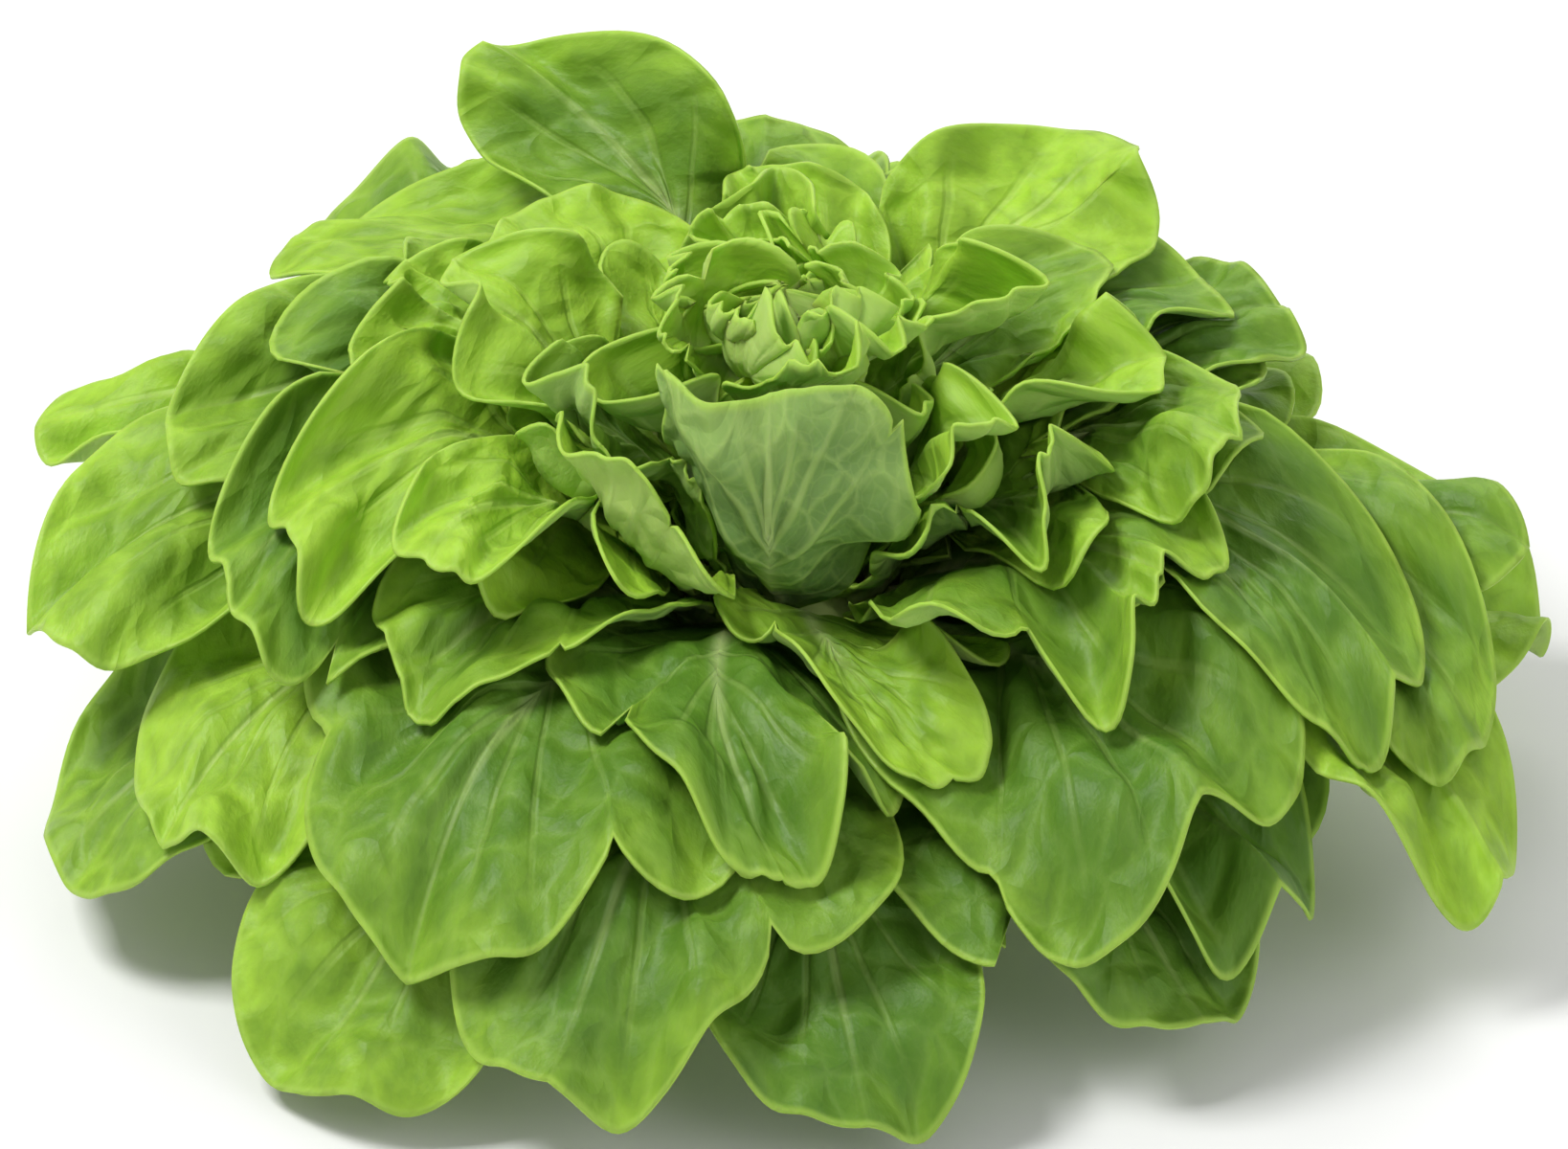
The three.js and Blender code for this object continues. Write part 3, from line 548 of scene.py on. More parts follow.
def ease_apart(leaves, gap, rounds):
    """Moves apart what the small waves of the fine grids still bring together."""
    rise = np.concatenate([(leaf.rise + leaf.lift).ravel() for leaf in leaves])
    reach = np.concatenate([leaf.reach.ravel() for leaf in leaves])
    bearing = np.concatenate([leaf.bearing.ravel() for leaf in leaves])
    owner = np.concatenate([np.full(leaf.p.size, number) for number, leaf in enumerate(leaves)])
    firsts = np.cumsum([0] + [leaf.p.size for leaf in leaves])
    cell = np.floor(bearing / (TAU / BEARING_CELLS)).astype(int) % BEARING_CELLS
    cell = cell * 1000 + np.floor(reach / REACH_CELL).astype(int)
    keys, group = np.unique(cell * 100 + owner, return_inverse=True)
    count = np.bincount(group)
    group_reach = np.bincount(group, reach) / count
    above = np.flatnonzero(keys[1:] // 100 == keys[:-1] // 100) + 1
    lift = np.zeros_like(rise)
    ground = np.arcsin(np.clip((GROUND_CLEARANCE + 0.5 - CROWN_HEIGHT) / reach, -1, 1))
    for _ in range(rounds):
        now = np.bincount(group, rise + lift) / count
        short = np.maximum(gap / group_reach[above] - (now[above] - now[above - 1]), 0)
        push = np.zeros(keys.size)
        push[above] += short / 2
        push[above - 1] -= short / 2
        move = push[group]
        for number, leaf in enumerate(leaves):
            part = slice(firsts[number], firsts[number + 1])
            grid = move[part].reshape(leaf.p.shape)
            for _ in range(2):
                wide = np.pad(grid, 1, mode="edge")
                around = wide[2:, 1:-1] + wide[:-2, 1:-1] + wide[1:-1, 2:] + wide[1:-1, :-2]
                grid = (2 * grid + around) / 6
            move[part] = grid.ravel()
        lift = np.maximum(lift + move, ground - rise)
    for number, leaf in enumerate(leaves):
        leaf.lift = leaf.lift + lift[firsts[number] : firsts[number + 1]].reshape(leaf.p.shape)
        leaf.match_tip()


# In the flat pattern of the blades, leaves lie PATTERN_STEP mm apart. The midrib reaches RIB_WIDTHS mm to
# each side at the root and the tip, and falls to about a third of its height in RIB_FADE of the length.
PATTERN_STEP = 200
RIB_WIDTHS = 3.2, 0.7
RIB_FADE = 0.5


def leaf_mesh(name, leaves, tones_and_shade, place=None):
    """One mesh of the upper faces of these leaves, with what the veins, rims and colours go by."""
    corners, faces, store = [], [], {}
    first = 0
    for leaf, tone in zip(leaves, tones_and_shade):
        rows, columns = leaf.p.shape
        middle = columns // 2
        at = leaf.middle() if place is None else place(leaf.middle())
        keep = np.ones(leaf.p.shape, bool)
        keep[-1, :middle] = False
        corners.append(at[keep] / 1000)
        ids = first + np.arange((rows - 1) * columns).reshape(rows - 1, columns)
        ids = np.vstack([ids, ids[-1, -1] + 1 + np.abs(np.arange(columns) - middle)])
        squares = np.stack([ids[:-1, :-1], ids[1:, :-1], ids[1:, 1:], ids[:-1, 1:]], axis=-1)
        faces.append(squares.reshape(-1, 4))
        first += int(keep.sum())
        along = leaf.p / leaf.length
        rib_width = mix(*RIB_WIDTHS, np.clip(along, 0, 1))
        values = {
            "flat": np.stack([leaf.p, leaf.q + PATTERN_STEP * leaf.number, 0 * leaf.p], axis=-1) / 1000,
            "across": np.abs(leaf.q),
            "out": leaf.out,
            "edge": leaf.edge_mm,
            "vein": leaf.vein_mm(),
            "rib": np.exp(-((leaf.q / rib_width) ** 2)) * np.exp(-along / RIB_FADE),
            "along": along,
            "tone": np.full_like(leaf.p, tone),
        }
        for key, value in values.items():
            store.setdefault(key, []).append(value[keep])
    mesh = bpy.data.meshes.new(name)
    mesh.from_pydata(np.concatenate(corners).tolist(), [], np.concatenate(faces).tolist())
    for key, parts in store.items():
        data = np.concatenate(parts).astype(np.float32)
        kind, field = ("FLOAT_VECTOR", "vector") if data.ndim > 1 else ("FLOAT", "value")
        mesh.attributes.new(key, kind, "POINT").data.foreach_set(field, data.ravel())
    mesh.update()
    return mesh


class TreeMaker:
    """Adds nodes to a geometry or shader tree."""

    def __init__(self, tree):
        self.tree = tree

    def feed(self, node, values):
        """Gives the sockets of a node these values or links."""
        for key, value in values.items():
            if isinstance(value, Value):
                self.tree.links.new(value.socket, node.inputs[key])
            else:
                node.inputs[key].default_value = value

    def node(self, kind, settings=None, values=None):
        """A node with its settings made first, and then the values or links of its sockets."""
        node = self.tree.nodes.new(kind)
        for key, value in (settings or {}).items():
            setattr(node, key, value)
        self.feed(node, values or {})
        return node

    def value(self, kind, settings=None, values=None, output=0):
        return Value(self, self.node(kind, settings, values).outputs[output])

    def colour_mix(self, share, first, second):
        """Two colours mixed, both given as RGBA or as values."""
        return self.value("ShaderNodeMix", {"data_type": "RGBA"}, {0: share, 6: first, 7: second}, 2)

    def noise(self, at, scale, detail=2.0, dimensions="3D", output=0):
        values = {"Vector": at, "Scale": scale, "Detail": detail}
        return self.value("ShaderNodeTexNoise", {"noise_dimensions": dimensions}, values, output)

    def net(self, at, scale):
        """Distance to the nearest line of a flat net of irregular cells."""
        settings = {"feature": "DISTANCE_TO_EDGE", "voronoi_dimensions": "2D"}
        return self.value("ShaderNodeTexVoronoi", settings, {"Vector": at, "Scale": scale, "Randomness": 0.9})

    def bump(self, height, strength, distance):
        values = {"Height": height, "Strength": strength, "Distance": distance}
        return self.value("ShaderNodeBump", None, values)


class Value:
    """A number, colour or vector on a socket. Sums of numbers add their own maths nodes."""

    def __init__(self, maker, socket):
        self.maker = maker
        self.socket = socket

    def maths(self, operation, *values):
        return self.maker.value("ShaderNodeMath", {"operation": operation}, dict(enumerate(values)))

    def __add__(self, other):
        return self.maths("ADD", self, other)

    __radd__ = __add__

    def __sub__(self, other):
        return self.maths("SUBTRACT", self, other)

    def __rsub__(self, other):
        return self.maths("SUBTRACT", other, self)

    def __mul__(self, other):
        return self.maths("MULTIPLY", self, other)

    __rmul__ = __mul__

    def __rtruediv__(self, other):
        return self.maths("DIVIDE", other, self)

    def root(self):
        return self.maths("SQRT", self)

    def sine(self):
        return self.maths("SINE", self)

    def step(self, low, high):
        """0 below low and 1 above high, with a smooth rise between."""
        values = {0: self, 1: low, 2: high, 3: 0.0, 4: 1.0}
        return self.maker.value("ShaderNodeMapRange", {"interpolation_type": "SMOOTHSTEP"}, values)

    def line(self, low, high):
        """1 below low and 0 above high: a line or spot round where the value is least."""
        return 1 - self.step(low, high)


# Puckers fade out this many mm from the rim and the midrib. A side vein lies in a valley this many mm wide
# to each side.
CALM_WIDTH = 6.0
VALLEY_WIDTH = 2.6
BLADE_INPUTS = ("Thickness", "Rib height", "Vein height", "Pucker height", "Pucker size", "Swell height")


def blade_tree():
    """The rule that gives a leaf its puckers, vein valleys, ribs and thickness, with named inputs."""
    tree = bpy.data.node_groups.new("Leaf blade", "GeometryNodeTree")
    tree.interface.new_socket("Geometry", in_out="INPUT", socket_type="NodeSocketGeometry")
    for name in BLADE_INPUTS:
        tree.interface.new_socket(name, in_out="INPUT", socket_type="NodeSocketFloat")
    tree.interface.new_socket("Material", in_out="INPUT", socket_type="NodeSocketMaterial")
    tree.interface.new_socket("Geometry", in_out="OUTPUT", socket_type="NodeSocketGeometry")
    maker = TreeMaker(tree)
    given = maker.node("NodeGroupInput")
    size = {name: Value(maker, given.outputs[name]) for name in (*BLADE_INPUTS, "Geometry", "Material")}

    def read(name, kind="FLOAT"):
        return maker.value("GeometryNodeInputNamedAttribute", {"data_type": kind}, {"Name": name})

    def along_normal(length):
        normal = maker.value("GeometryNodeInputNormal")
        return maker.value("ShaderNodeVectorMath", {"operation": "SCALE"}, {0: normal, "Scale": length})

    flat = read("flat", "FLOAT_VECTOR")
    frequency = 1 / size["Pucker size"]
    blister = maker.value(
        "ShaderNodeTexVoronoi",
        {"feature": "SMOOTH_F1"},
        {"Vector": flat, "Scale": frequency, "Smoothness": 0.7, "Randomness": 0.9},
    )
    swell = maker.noise(flat, frequency * 0.4, 1.0)
    calm = read("edge").step(0.0, CALM_WIDTH) * read("across").step(0.5, CALM_WIDTH)
    calm = calm * read("along").step(0.05, 0.3)
    valley = read("vein").line(0.0, VALLEY_WIDTH) * (1 - read("out"))
    bulge = (0.5 - blister) * size["Pucker height"] + (swell - 0.5) * size["Swell height"]
    height = (bulge - valley * size["Vein height"]) * calm
    puckered = maker.value(
        "GeometryNodeSetPosition", None, {"Geometry": size["Geometry"], "Offset": along_normal(height)}
    )
    depth = size["Thickness"] + read("rib") * size["Rib height"] + valley * calm * size["Vein height"]
    under = maker.node(
        "GeometryNodeExtrudeMesh",
        {"mode": "FACES"},
        {"Mesh": puckered, "Offset": along_normal(depth * -1), "Offset Scale": 1.0, "Individual": False},
    )
    marked = maker.value(
        "GeometryNodeStoreNamedAttribute",
        {"data_type": "FLOAT", "domain": "FACE"},
        {
            "Geometry": Value(maker, under.outputs["Mesh"]),
            "Selection": Value(maker, under.outputs["Top"]),
            "Name": "under",
            "Value": 1.0,
        },
    )
    flipped = maker.value("GeometryNodeFlipFaces", None, {"Mesh": marked})
    joined = maker.node("GeometryNodeJoinGeometry")
    for part in (flipped, puckered):
        tree.links.new(part.socket, joined.inputs[0])
    whole = maker.value(
        "GeometryNodeMergeByDistance", None, {"Geometry": Value(maker, joined.outputs[0]), "Distance": 1e-6}
    )
    soft = maker.value("GeometryNodeSetShadeSmooth", None, {"Geometry": whole, "Shade Smooth": True})
    real = maker.value("GeometryNodeRealizeInstances", None, {"Geometry": soft})
    painted = maker.value("GeometryNodeSetMaterial", None, {"Geometry": real, "Material": size["Material"]})
    maker.node("NodeGroupOutput", None, {"Geometry": painted})
    return tree


def solid_from(tree, mesh, name, inputs, material):
    """Runs a geometry tree on a mesh and keeps the result as a plain mesh object."""
    piece = bpy.data.objects.new(name, mesh)
    bpy.context.collection.objects.link(piece)
    modifier = piece.modifiers.new(tree.name, "NODES")
    modifier.node_group = tree
    for socket in tree.interface.items_tree:
        if socket.in_out == "INPUT" and socket.name in inputs:
            modifier[socket.identifier] = inputs[socket.name]
        elif socket.in_out == "INPUT" and socket.name == "Material":
            modifier[socket.identifier] = material
    bpy.context.view_layer.update()
    evaluated = piece.evaluated_get(bpy.context.evaluated_depsgraph_get())
    made = bpy.data.meshes.new_from_object(evaluated)
    piece.modifiers.clear()
    piece.data = made
    made.name = name
    bpy.data.meshes.remove(mesh)
    return piece


# Materials.


def srgb(red, green, blue):
    """A linear RGBA colour from 8-bit display values."""
    shares = [value / 255 for value in (red, green, blue)]
    return tuple(((v + 0.055) / 1.055) ** 2.4 if v > 0.04 else v / 12.92 for v in shares) + (1.0,)


# Patterns of a blade, as repeats per metre: wide patches and patches of yellow, patches of shine, speckles,
# grain, the net of small veins, the finer net, and what bends both nets by up to VEIN_BEND metres.
WIDE_PATCHES = 38.0
PATCHES = 110.0
SHINE_PATCHES = 70.0
SPECKLES = 420.0
GRAIN = 900.0
VEIN_NET = 105.0
FINE_NET = 330.0
VEIN_BENDS = 130.0
VEIN_BEND = 0.004

# How far light spreads in a blade, in metres, and the shares of red, green and blue in that.
GLOW_REACH = 0.0016
GLOW_COLOUR = (0.6, 1.0, 0.18)


def new_material(name):
    """A new material with the maker of its tree and its shader."""
    material = bpy.data.materials.new(name)
    material.use_nodes = True
    return material, TreeMaker(material.node_tree), material.node_tree.nodes["Principled BSDF"]


def leaf_material(name, settings, glow):
    """Leaf green with a yellow-green rim, pale veins and a paler, matt underside."""
    material, maker, shader = new_material(name)

    def read(name, output="Fac"):
        return maker.value("ShaderNodeAttribute", {"attribute_name": name}, output=output)

    def pattern(scale, detail=2.0, output=0):
        return maker.noise(flat, scale, detail, "2D", output)

    def chosen(name):
        return tuple(getattr(settings, name))

    flat = read("flat", "Vector")
    edge, vein, tone, under, out = (read(name) for name in ("edge", "vein", "tone", "under", "out"))
    bending = {0: pattern(VEIN_BENDS, 0.0, 1), 1: (VEIN_BEND,) * 3, 2: flat}
    bent = maker.value("ShaderNodeVectorMath", {"operation": "MULTIPLY_ADD"}, bending)
    net = maker.net(bent, VEIN_NET)
    side_vein = vein.line(0.3, 1.1) * (1 - out).step(0.03, 0.5)
    web = net.line(0.0, 0.13) * 0.5 + maker.net(bent, FINE_NET).line(0.02, 0.12) * 0.2
    lines = side_vein * 0.9 + web * (1 - side_vein)
    mottle = pattern(WIDE_PATCHES) * 0.5 + pattern(PATCHES) * 0.4
    # For two front leaves the tone is partly painted shade, so they come out darker green.
    yellowness_and_shade = tone + mottle - 0.53 + out * 0.2 + edge.line(0.0, 14.0) * 0.2
    top = maker.colour_mix(yellowness_and_shade.step(0.0, 1.0), chosen("leaf_green"), chosen("young_green"))
    speckle = pattern(SPECKLES, 3.0).step(0.3, 0.75)
    top = maker.colour_mix(speckle * 0.14 + net.step(0.05, 0.4) * 0.24, top, chosen("deep_green"))
    top = maker.colour_mix(side_vein * 0.14 + web * 0.1, top, chosen("vein_colour"))
    below = maker.colour_mix(yellowness_and_shade.step(0.0, 1.1), chosen("under_green"), chosen("young_under"))
    below = maker.colour_mix(lines * 0.5, below, chosen("vein_colour"))
    faces = maker.colour_mix(under, top, below)
    faces = maker.colour_mix(read("rib").step(0.05, 0.75) * 0.8, faces, chosen("rib_colour"))
    relief = net.step(0.0, 0.4) * 1.4 - side_vein * 0.6
    height = pattern(GRAIN) * 0.3 + relief * (1 - under * 2)
    values = {
        "Base Color": maker.colour_mix(edge.line(0.3, 1.6) * 0.75, faces, chosen("rim_colour")),
        "Roughness": 0.44 + under * 0.16 + pattern(SHINE_PATCHES) * 0.14,
        "Normal": maker.bump(height, 0.5, 0.001),
        "Subsurface Weight": glow,
        "Subsurface Radius": GLOW_COLOUR,
        "Subsurface Scale": GLOW_REACH,
        "Specular IOR Level": 0.3,
    }
    maker.feed(shader, values)
    return material


def stem_material(name, settings):
    """Pale wet stem, browner and finely ringed on its cut face."""
    material, maker, shader = new_material(name)
    at = maker.value("ShaderNodeTexCoord", output="Object")
    split = maker.node("ShaderNodeSeparateXYZ", None, {0: at})
    x, y, z = (Value(maker, split.outputs[i]) for i in range(3))
    radius = (x * x + y * y).root()
    streaks = maker.noise(at, 260.0, 3.0)
    cut = z.line(0.0004, 0.0012)
    ring = (radius * 1900.0 + streaks * 4.0).sine()
    body = maker.colour_mix(streaks.step(0.3, 0.7), tuple(settings.stem_colour), srgb(236, 236, 206))
    face = maker.colour_mix(ring.step(-1.0, 1.0) * 0.5, srgb(214, 204, 160), srgb(190, 166, 112))
    face = maker.colour_mix(radius.step(0.011, 0.0155), face, srgb(156, 116, 66))
    green = maker.colour_mix(z.step(0.012, 0.034), body, srgb(196, 214, 130))
    values = {
        "Base Color": maker.colour_mix(cut, green, face),
        "Roughness": 0.4 + cut * 0.2,
        "Normal": maker.bump(streaks, 0.4, 0.0008),
    }
    maker.feed(shader, values)
    return material


def floor_material(name, colour):
    """Matt pale paper with a faint grain."""
    material, maker, shader = new_material(name)
    grain = maker.noise(maker.value("ShaderNodeTexCoord", output="Object"), 8.0)
    tint = maker.colour_mix(grain * 0.05, tuple(colour), srgb(225, 225, 222))
    maker.feed(shader, {"Base Color": tint, "Roughness": 0.9})
    return material


@functools.cache
def settled_leaves():
    """All large leaves on fine grids, settled, by name."""
    leaves = []
    for number, row in enumerate(LEAVES):
        large = number < LARGE_LEAVES
        places, rings = (SPOKES, LEAF_RINGS) if large else (SMALL_SPOKES, SMALL_RINGS)
        leaves.append(Leaf(number, row, places, np.linspace(0, 1, rings + 1)))
    settle(leaves)
    fine = []
    for leaf, row in zip(leaves, LEAVES):
        ruffle, curl = RUFFLES.get(leaf.name, PLAIN_RUFFLE)
        fine.append(FineLeaf(leaf, row, FINE_SPOKES, FINE_RINGS, ruffle, curl))
    ease_apart(fine, FINE_GAP, FINE_ROUNDS)
    return {leaf.name: leaf for leaf in fine}


def draw_in(at):
    """Turns points up out of the room of the large leaves, towards the axis."""
    out, height = np.hypot(at[..., 0], at[..., 1]), at[..., 2] - CROWN_HEIGHT
    reach = np.hypot(out, height)
    rise = np.maximum(np.arctan2(height, out), heart_limit(reach) + HEART_MARGIN / reach)
    share = reach * np.cos(rise) / np.maximum(out, 1e-6)
    return np.stack([at[..., 0] * share, at[..., 1] * share, CROWN_HEIGHT + reach * np.sin(rise)], axis=-1)


def stem_mesh(name):
    """The stem as a turned shape with shallow ridges where the lowest leaves were taken off."""
    profile = [(0.0, 0.0), (CUT_RADIUS * 0.6, 0.0), (CUT_RADIUS - 0.4, 0.0), (CUT_RADIUS, 0.6)]
    for i in range(KNOB_RINGS):
        rise = math.radians(mix(KNOB_START, 90, i / (KNOB_RINGS - 1)))
        out, height = STEM_KNOB_RADIUS * math.cos(rise), STEM_KNOB_RADIUS * math.sin(rise)
        profile.append((out, CROWN_HEIGHT + height))
    mesh = bpy.data.meshes.new(name)
    shape = bmesh.new()
    rings = []
    for number, (out, height) in enumerate(profile):
        if number in (0, len(profile) - 1):
            rings.append([shape.verts.new((0, 0, height / 1000))])
            continue
        ring = []
        for i in range(STEM_CORNERS):
            angle = TAU * i / STEM_CORNERS
            lump = 0.5 * math.sin(5 * angle + height * 0.5) + 0.3 * math.sin(11 * angle - height)
            radius = out + lump * min(height / 6, 1) * (out > CUT_RADIUS * 0.8)
            place = Vector((radius * math.sin(angle), -radius * math.cos(angle), height))
            ring.append(shape.verts.new(place / 1000))
        rings.append(ring)
    for lower, upper in zip(rings[:-1], rings[1:]):
        for i in range(STEM_CORNERS):
            j = (i + 1) % STEM_CORNERS
            low, high = len(lower), len(upper)
            loop = [lower[i % low], lower[j % low], upper[j % high], upper[i % high]]
            shape.faces.new(list(dict.fromkeys(loop)))
    bmesh.ops.recalc_face_normals(shape, faces=shape.faces)
    shape.to_mesh(mesh)
    shape.free()
    mesh.shade_smooth()
    return mesh


# Settings that a user would change.


def length_property(name, description, default):
    return bpy.props.FloatProperty(
        name=name, description=description, default=default, unit="LENGTH", precision=5
    )


def colour_property(name, description, default):
    return bpy.props.FloatVectorProperty(
        name=name, description=description, default=default, size=4, min=0, max=1, subtype="COLOR"
    )


class LettuceBlade(bpy.types.PropertyGroup):
    """Sizes of the leaf blades."""

    thickness: length_property("Thickness", "Thickness of a blade away from its ribs", 0.0007)
    rib_height: length_property("Rib height", "How far the midrib stands out under a leaf's root", 0.0022)
    vein_height: length_property("Vein height", "Depth of the side veins above and below the blade", 0.0006)
    pucker_height: length_property("Pucker height", "Height of the puckers between the veins", 0.005)
    pucker_size: length_property("Pucker size", "Distance from one pucker to the next", 0.012)
    swell_height: length_property("Swell height", "Height of the wide swells of a blade", 0.003)
    heart_pucker_height: length_property("Heart pucker height", "Height of the puckers in the heart", 0.0012)


class LettuceColours(bpy.types.PropertyGroup):
    """Colours of the leaves and the stem."""

    leaf_green: colour_property("Leaf green", "Upper face of a full-grown leaf", srgb(90, 132, 36))
    young_green: colour_property("Young green", "Upper face of a young leaf", srgb(164, 204, 60))
    under_green: colour_property("Underside green", "Underside of a full-grown leaf", srgb(122, 156, 84))
    young_under: colour_property("Young underside", "Underside of a young leaf", srgb(178, 208, 106))
    rim_colour: colour_property("Rim", "Thin edge of the leaves", srgb(170, 204, 84))
    vein_colour: colour_property("Veins", "Veins in the blade", srgb(186, 212, 122))
    rib_colour: colour_property("Ribs", "Midribs near the stem", srgb(214, 226, 160))
    deep_green: colour_property("Deep green", "Speckles and the middles of the puckers", srgb(58, 100, 20))
    stem_colour: colour_property("Stem", "Side of the cut stem", srgb(222, 224, 180))


class LettuceStage(bpy.types.PropertyGroup):
    """The floor, the lights and the camera."""

    elevation: bpy.props.FloatProperty(
        name="Camera elevation",
        description="Height of the view above the level",
        default=math.radians(35),
        subtype="ANGLE",
    )
    distance: length_property("Camera distance", "Distance from the camera to the middle of the head", 3.0)
    frame_width: length_property("Frame width", "Width of the picture at the middle of the head", 0.3033)
    aim_height: length_property("Aim height", "Height that the camera looks at", 0.049)
    key_power: bpy.props.FloatProperty(
        name="Main light", description="Power of the main light", default=16, unit="POWER"
    )
    sky_strength: bpy.props.FloatProperty(
        name="Sky light", description="Light from all round", default=0.385
    )
    floor_colour: colour_property("Floor", "Colour of the floor", srgb(246, 246, 245))


@functools.cache
def leaf_materials():
    """The materials of the three kinds of leaf, by slot."""
    settings = bpy.context.scene.lettuce_colours
    return {
        "outer_leaf": leaf_material("outer_leaf_green", settings, 0.3),
        "inner_leaf": leaf_material("inner_leaf_green", settings, 0.35),
        "heart_leaf": leaf_material("heart_leaf_green", settings, 0.4),
    }


@functools.cache
def blade_rule():
    return blade_tree()


def blade_inputs(settings, **changes):
    inputs = {
        "Thickness": settings.thickness,
        "Rib height": settings.rib_height,
        "Vein height": settings.vein_height,
        "Pucker height": settings.pucker_height,
        "Pucker size": settings.pucker_size,
        "Swell height": settings.swell_height,
    }
    return {**inputs, **changes}


def make_leaves(names):
    """Builds these leaves, each as a piece of its own in place of its plain solid."""
    scene = bpy.context.scene
    order = [row[0] for row in LEAVES]
    for name in names:
        leaf = settled_leaves()[name]
        number = order.index(name)
        slot = "outer_leaf" if number < len(LEAVES) / 2 else "inner_leaf"
        plain = mix(*PLAIN_TONES, number / len(LEAVES)) + TONE_SPREAD * (chance(number, 51) - 0.5)
        # Two of the listed tones are painted shade: darker for leaves that lie in shade.
        tone = TONES_AND_SHADE.get(name, plain)
        mesh = leaf_mesh(name + "_skin", [leaf], [tone])
        inputs = blade_inputs(scene.lettuce_blade)
        piece = solid_from(blade_rule(), mesh, name + "_blade", inputs, leaf_materials()[slot])
        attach(piece, "root")
        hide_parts(name)


def leaf_names(*starts):
    """The leaves whose names start so. Raises an error if there are none."""
    names = [row[0] for row in LEAVES if row[0].startswith(starts)]
    if not names:
        raise RuntimeError("no leaf is named so: " + ", ".join(starts))
    return names


class LETTUCE_OT_outer_leaves(bpy.types.Operator):
    """Builds the low and skirt leaves"""

    bl_idname = "lettuce.outer_leaves"
    bl_label = "Outer leaves"

    def execute(self, context):
        make_leaves(leaf_names("low_", "skirt_"))
        return {"FINISHED"}


class LETTUCE_OT_middle_leaves(bpy.types.Operator):
    """Builds the cupped, folded and ruffled leaves above the outer ones"""

    bl_idname = "lettuce.middle_leaves"
    bl_label = "Middle leaves"

    def execute(self, context):
        make_leaves(leaf_names("wide_", "cupped_", "mid_", "upright_", "small_", "folded_", "ruffled_"))
        return {"FINISHED"}


class LETTUCE_OT_inner_leaves(bpy.types.Operator):
    """Builds the high leaves round the heart"""

    bl_idname = "lettuce.inner_leaves"
    bl_label = "Inner leaves"

    def execute(self, context):
        starts = "high_", "tall_", "pale_", "inner_", "curled_", "veined_", "narrow_", "crown_"
        make_leaves(leaf_names(*starts))
        return {"FINISHED"}


class LETTUCE_OT_heart(bpy.types.Operator):
    """Builds the crowd of small curled leaves in the middle"""

    bl_idname = "lettuce.heart"
    bl_label = "Heart"

    def execute(self, context):
        leaves, tones_and_shade = [], []
        outs = np.linspace(0, 1, SMALL_RINGS + 1)
        for i in range(HEART_LEAVES):
            share = i / (HEART_LEAVES - 1)
            rise, reach = mix(*HEART_RISES, share), mix(*HEART_REACHES, share)
            half_width = mix(*HEART_HALF_WIDTHS, share)
            lean = HEART_LEAN * (chance(i, 91) - 0.5)
            row = ["", i * HEART_TURN, rise, rise - 4, reach, half_width, 7, 4, lean, 20, 0.3]
            number = len(LEAVES) + i
            coarse = Leaf(number, row, SMALL_SPOKES, outs, HEART_HEIGHT, HEART_ROOT_REACH)
            leaves.append(FineLeaf(coarse, row, HEART_SPOKES, HEART_RINGS, *HEART_RUFFLE))
            tones_and_shade.append(0.75 + 0.35 * chance(i, 61))
        mesh = leaf_mesh("heart_skin", leaves, tones_and_shade, draw_in)
        settings = context.scene.lettuce_blade
        small = {"Rib height": 0.0008, "Pucker height": settings.heart_pucker_height, "Swell height": 0.002}
        inputs = blade_inputs(settings, **small)
        piece = solid_from(blade_rule(), mesh, "heart_leaves", inputs, leaf_materials()["heart_leaf"])
        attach(piece, "root")
        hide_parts("heart")
        return {"FINISHED"}


class LETTUCE_OT_stem(bpy.types.Operator):
    """Builds the cut stem"""

    bl_idname = "lettuce.stem"
    bl_label = "Stem"

    def execute(self, context):
        piece = bpy.data.objects.new("stem_stump", stem_mesh("stem_stump"))
        context.collection.objects.link(piece)
        piece.data.materials.append(stem_material("cut_stem_cream", context.scene.lettuce_colours))
        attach(piece, "root")
        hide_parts("cut_stem")
        return {"FINISHED"}


# Lights: name, place and size in metres, and share of the main light's power.
LIGHTS = [
    ("main_light", (-0.7, -0.1, 1.3), 0.45, 1),
    ("fill_light", (0.9, -0.8, 0.7), 0.9, 0.25),
    ("back_light", (0.3, 1.0, 0.9), 0.8, 0.35),
]
FLOOR_SIZE = 14
SENSOR_WIDTH = 36


def area_light(name, place, aim, size, power):
    """A square area light at a place, facing an aim."""
    light = bpy.data.objects.new(name, bpy.data.lights.new(name, "AREA"))
    light.data.size = size
    light.data.energy = power
    light.location = place
    light.rotation_euler = (Vector(aim) - Vector(place)).to_track_quat("-Z", "Y").to_euler()
    bpy.context.collection.objects.link(light)


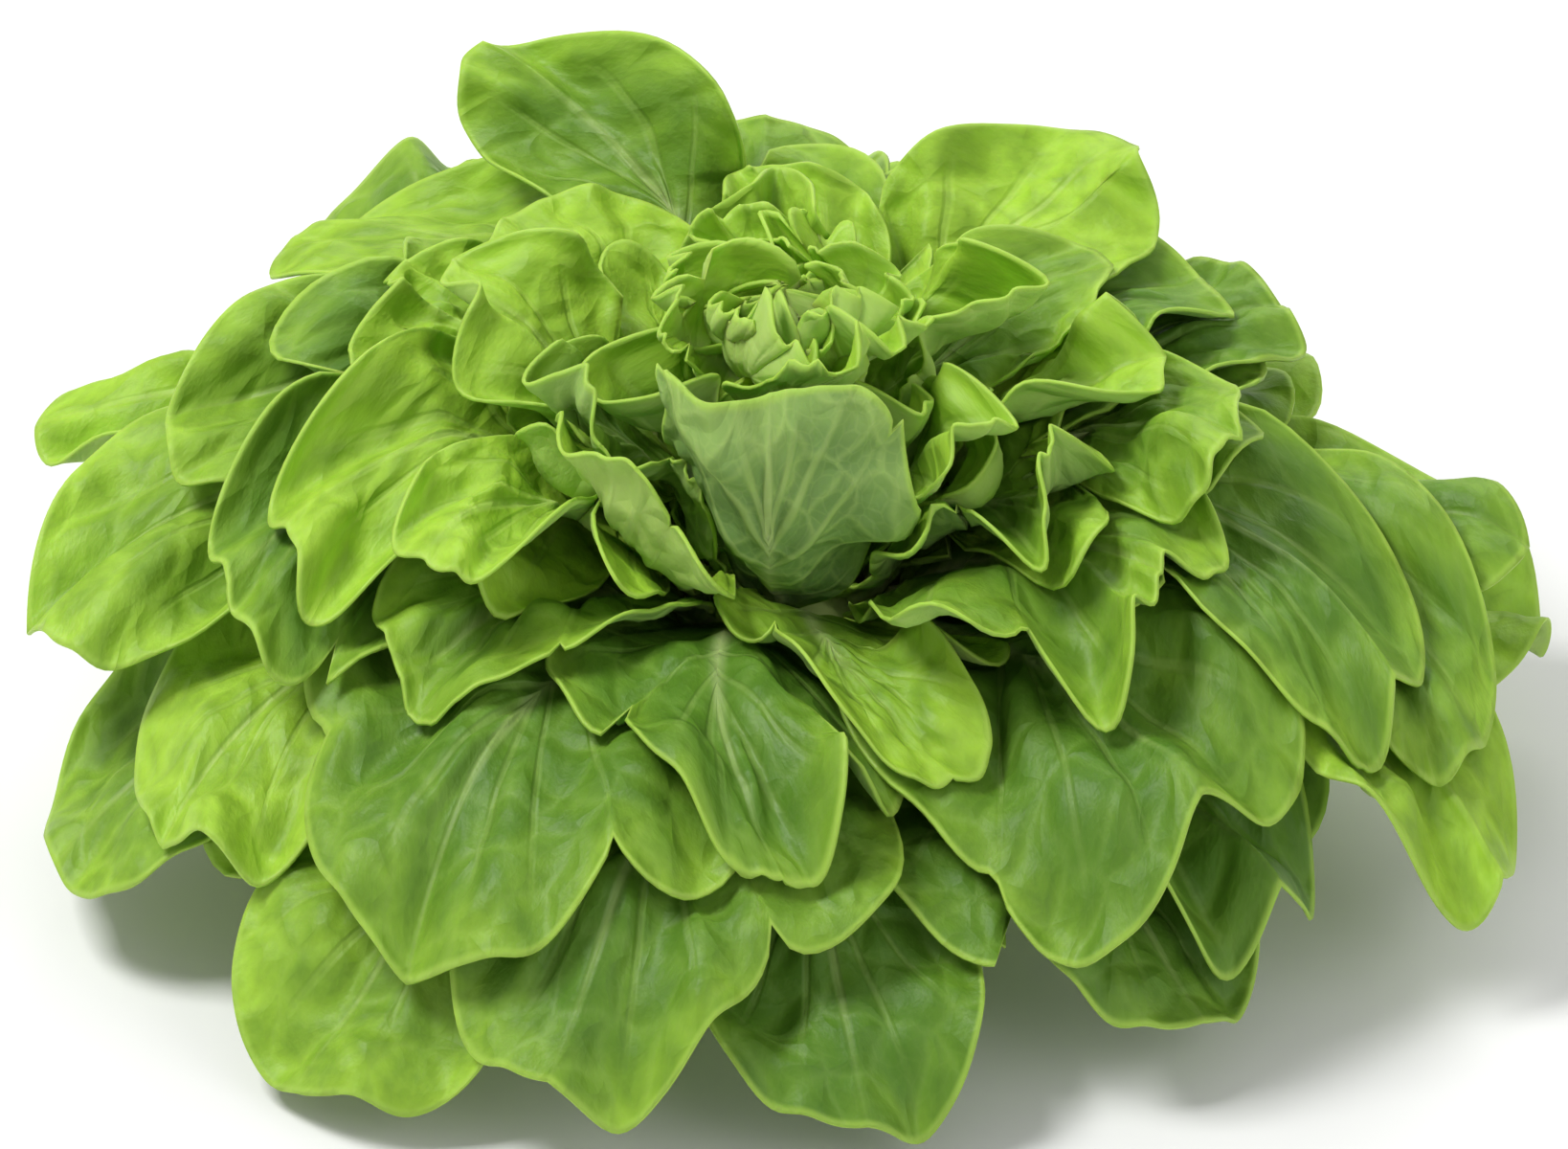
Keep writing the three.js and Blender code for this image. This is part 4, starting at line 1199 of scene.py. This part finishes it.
class LETTUCE_OT_stage(bpy.types.Operator):
    """Builds the floor, the lights and the camera"""

    bl_idname = "lettuce.stage"
    bl_label = "Stage"

    def execute(self, context):
        scene = context.scene
        settings = scene.lettuce_stage
        bpy.ops.mesh.primitive_plane_add(size=FLOOR_SIZE)
        floor = context.object
        floor.name = "floor"
        floor.data.materials.append(floor_material("floor_paper", settings.floor_colour))
        aim = Vector((0, 0, settings.aim_height))
        for name, place, size, share in LIGHTS:
            area_light(name, place, aim, size, settings.key_power * share)
        world = bpy.data.worlds.new("studio")
        world.use_nodes = True
        sky = world.node_tree.nodes["Background"]
        TreeMaker(world.node_tree).feed(sky, {"Color": (1, 1, 1, 1), "Strength": settings.sky_strength})
        scene.world = world
        scene.view_settings.view_transform = "Standard"
        data = bpy.data.cameras.new("camera")
        data.sensor_width = SENSOR_WIDTH
        data.lens = SENSOR_WIDTH * settings.distance / settings.frame_width
        camera = bpy.data.objects.new("camera", data)
        context.collection.objects.link(camera)
        away = Vector((0, -math.cos(settings.elevation), math.sin(settings.elevation)))
        camera.location = aim + away * settings.distance
        camera.rotation_euler = (-away).to_track_quat("-Z", "Y").to_euler()
        scene.camera = camera
        return {"FINISHED"}


class LETTUCE_PT_panel(bpy.types.Panel):
    """Settings and steps of the lettuce"""

    bl_label = "Lettuce"
    bl_idname = "LETTUCE_PT_panel"
    bl_space_type = "VIEW_3D"
    bl_region_type = "UI"
    bl_category = "Lettuce"

    def draw(self, context):
        for operator in OPERATORS:
            self.layout.operator(operator.bl_idname)
        for group in GROUPS:
            box = self.layout.box()
            settings = getattr(context.scene, group)
            for name in settings.bl_rna.properties.keys():
                if name not in ("rna_type", "name"):
                    box.prop(settings, name)


GROUPS = {
    "lettuce_blade": LettuceBlade,
    "lettuce_colours": LettuceColours,
    "lettuce_stage": LettuceStage,
}
OPERATORS = [
    LETTUCE_OT_stage,
    LETTUCE_OT_stem,
    LETTUCE_OT_outer_leaves,
    LETTUCE_OT_middle_leaves,
    LETTUCE_OT_inner_leaves,
    LETTUCE_OT_heart,
]


def register():
    for made in (*GROUPS.values(), *OPERATORS, LETTUCE_PT_panel):
        bpy.utils.register_class(made)
    for name, group in GROUPS.items():
        setattr(bpy.types.Scene, name, bpy.props.PointerProperty(type=group))


def unregister():
    for name in GROUPS:
        delattr(bpy.types.Scene, name)
    for made in reversed((*GROUPS.values(), *OPERATORS, LETTUCE_PT_panel)):
        bpy.utils.unregister_class(made)


def main():
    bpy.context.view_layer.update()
    register()
    bpy.ops.lettuce.stage()
    bpy.ops.lettuce.stem()
    bpy.ops.lettuce.outer_leaves()
    bpy.ops.lettuce.middle_leaves()
    bpy.ops.lettuce.inner_leaves()
    bpy.ops.lettuce.heart()


if __name__ == "__main__":
    main()
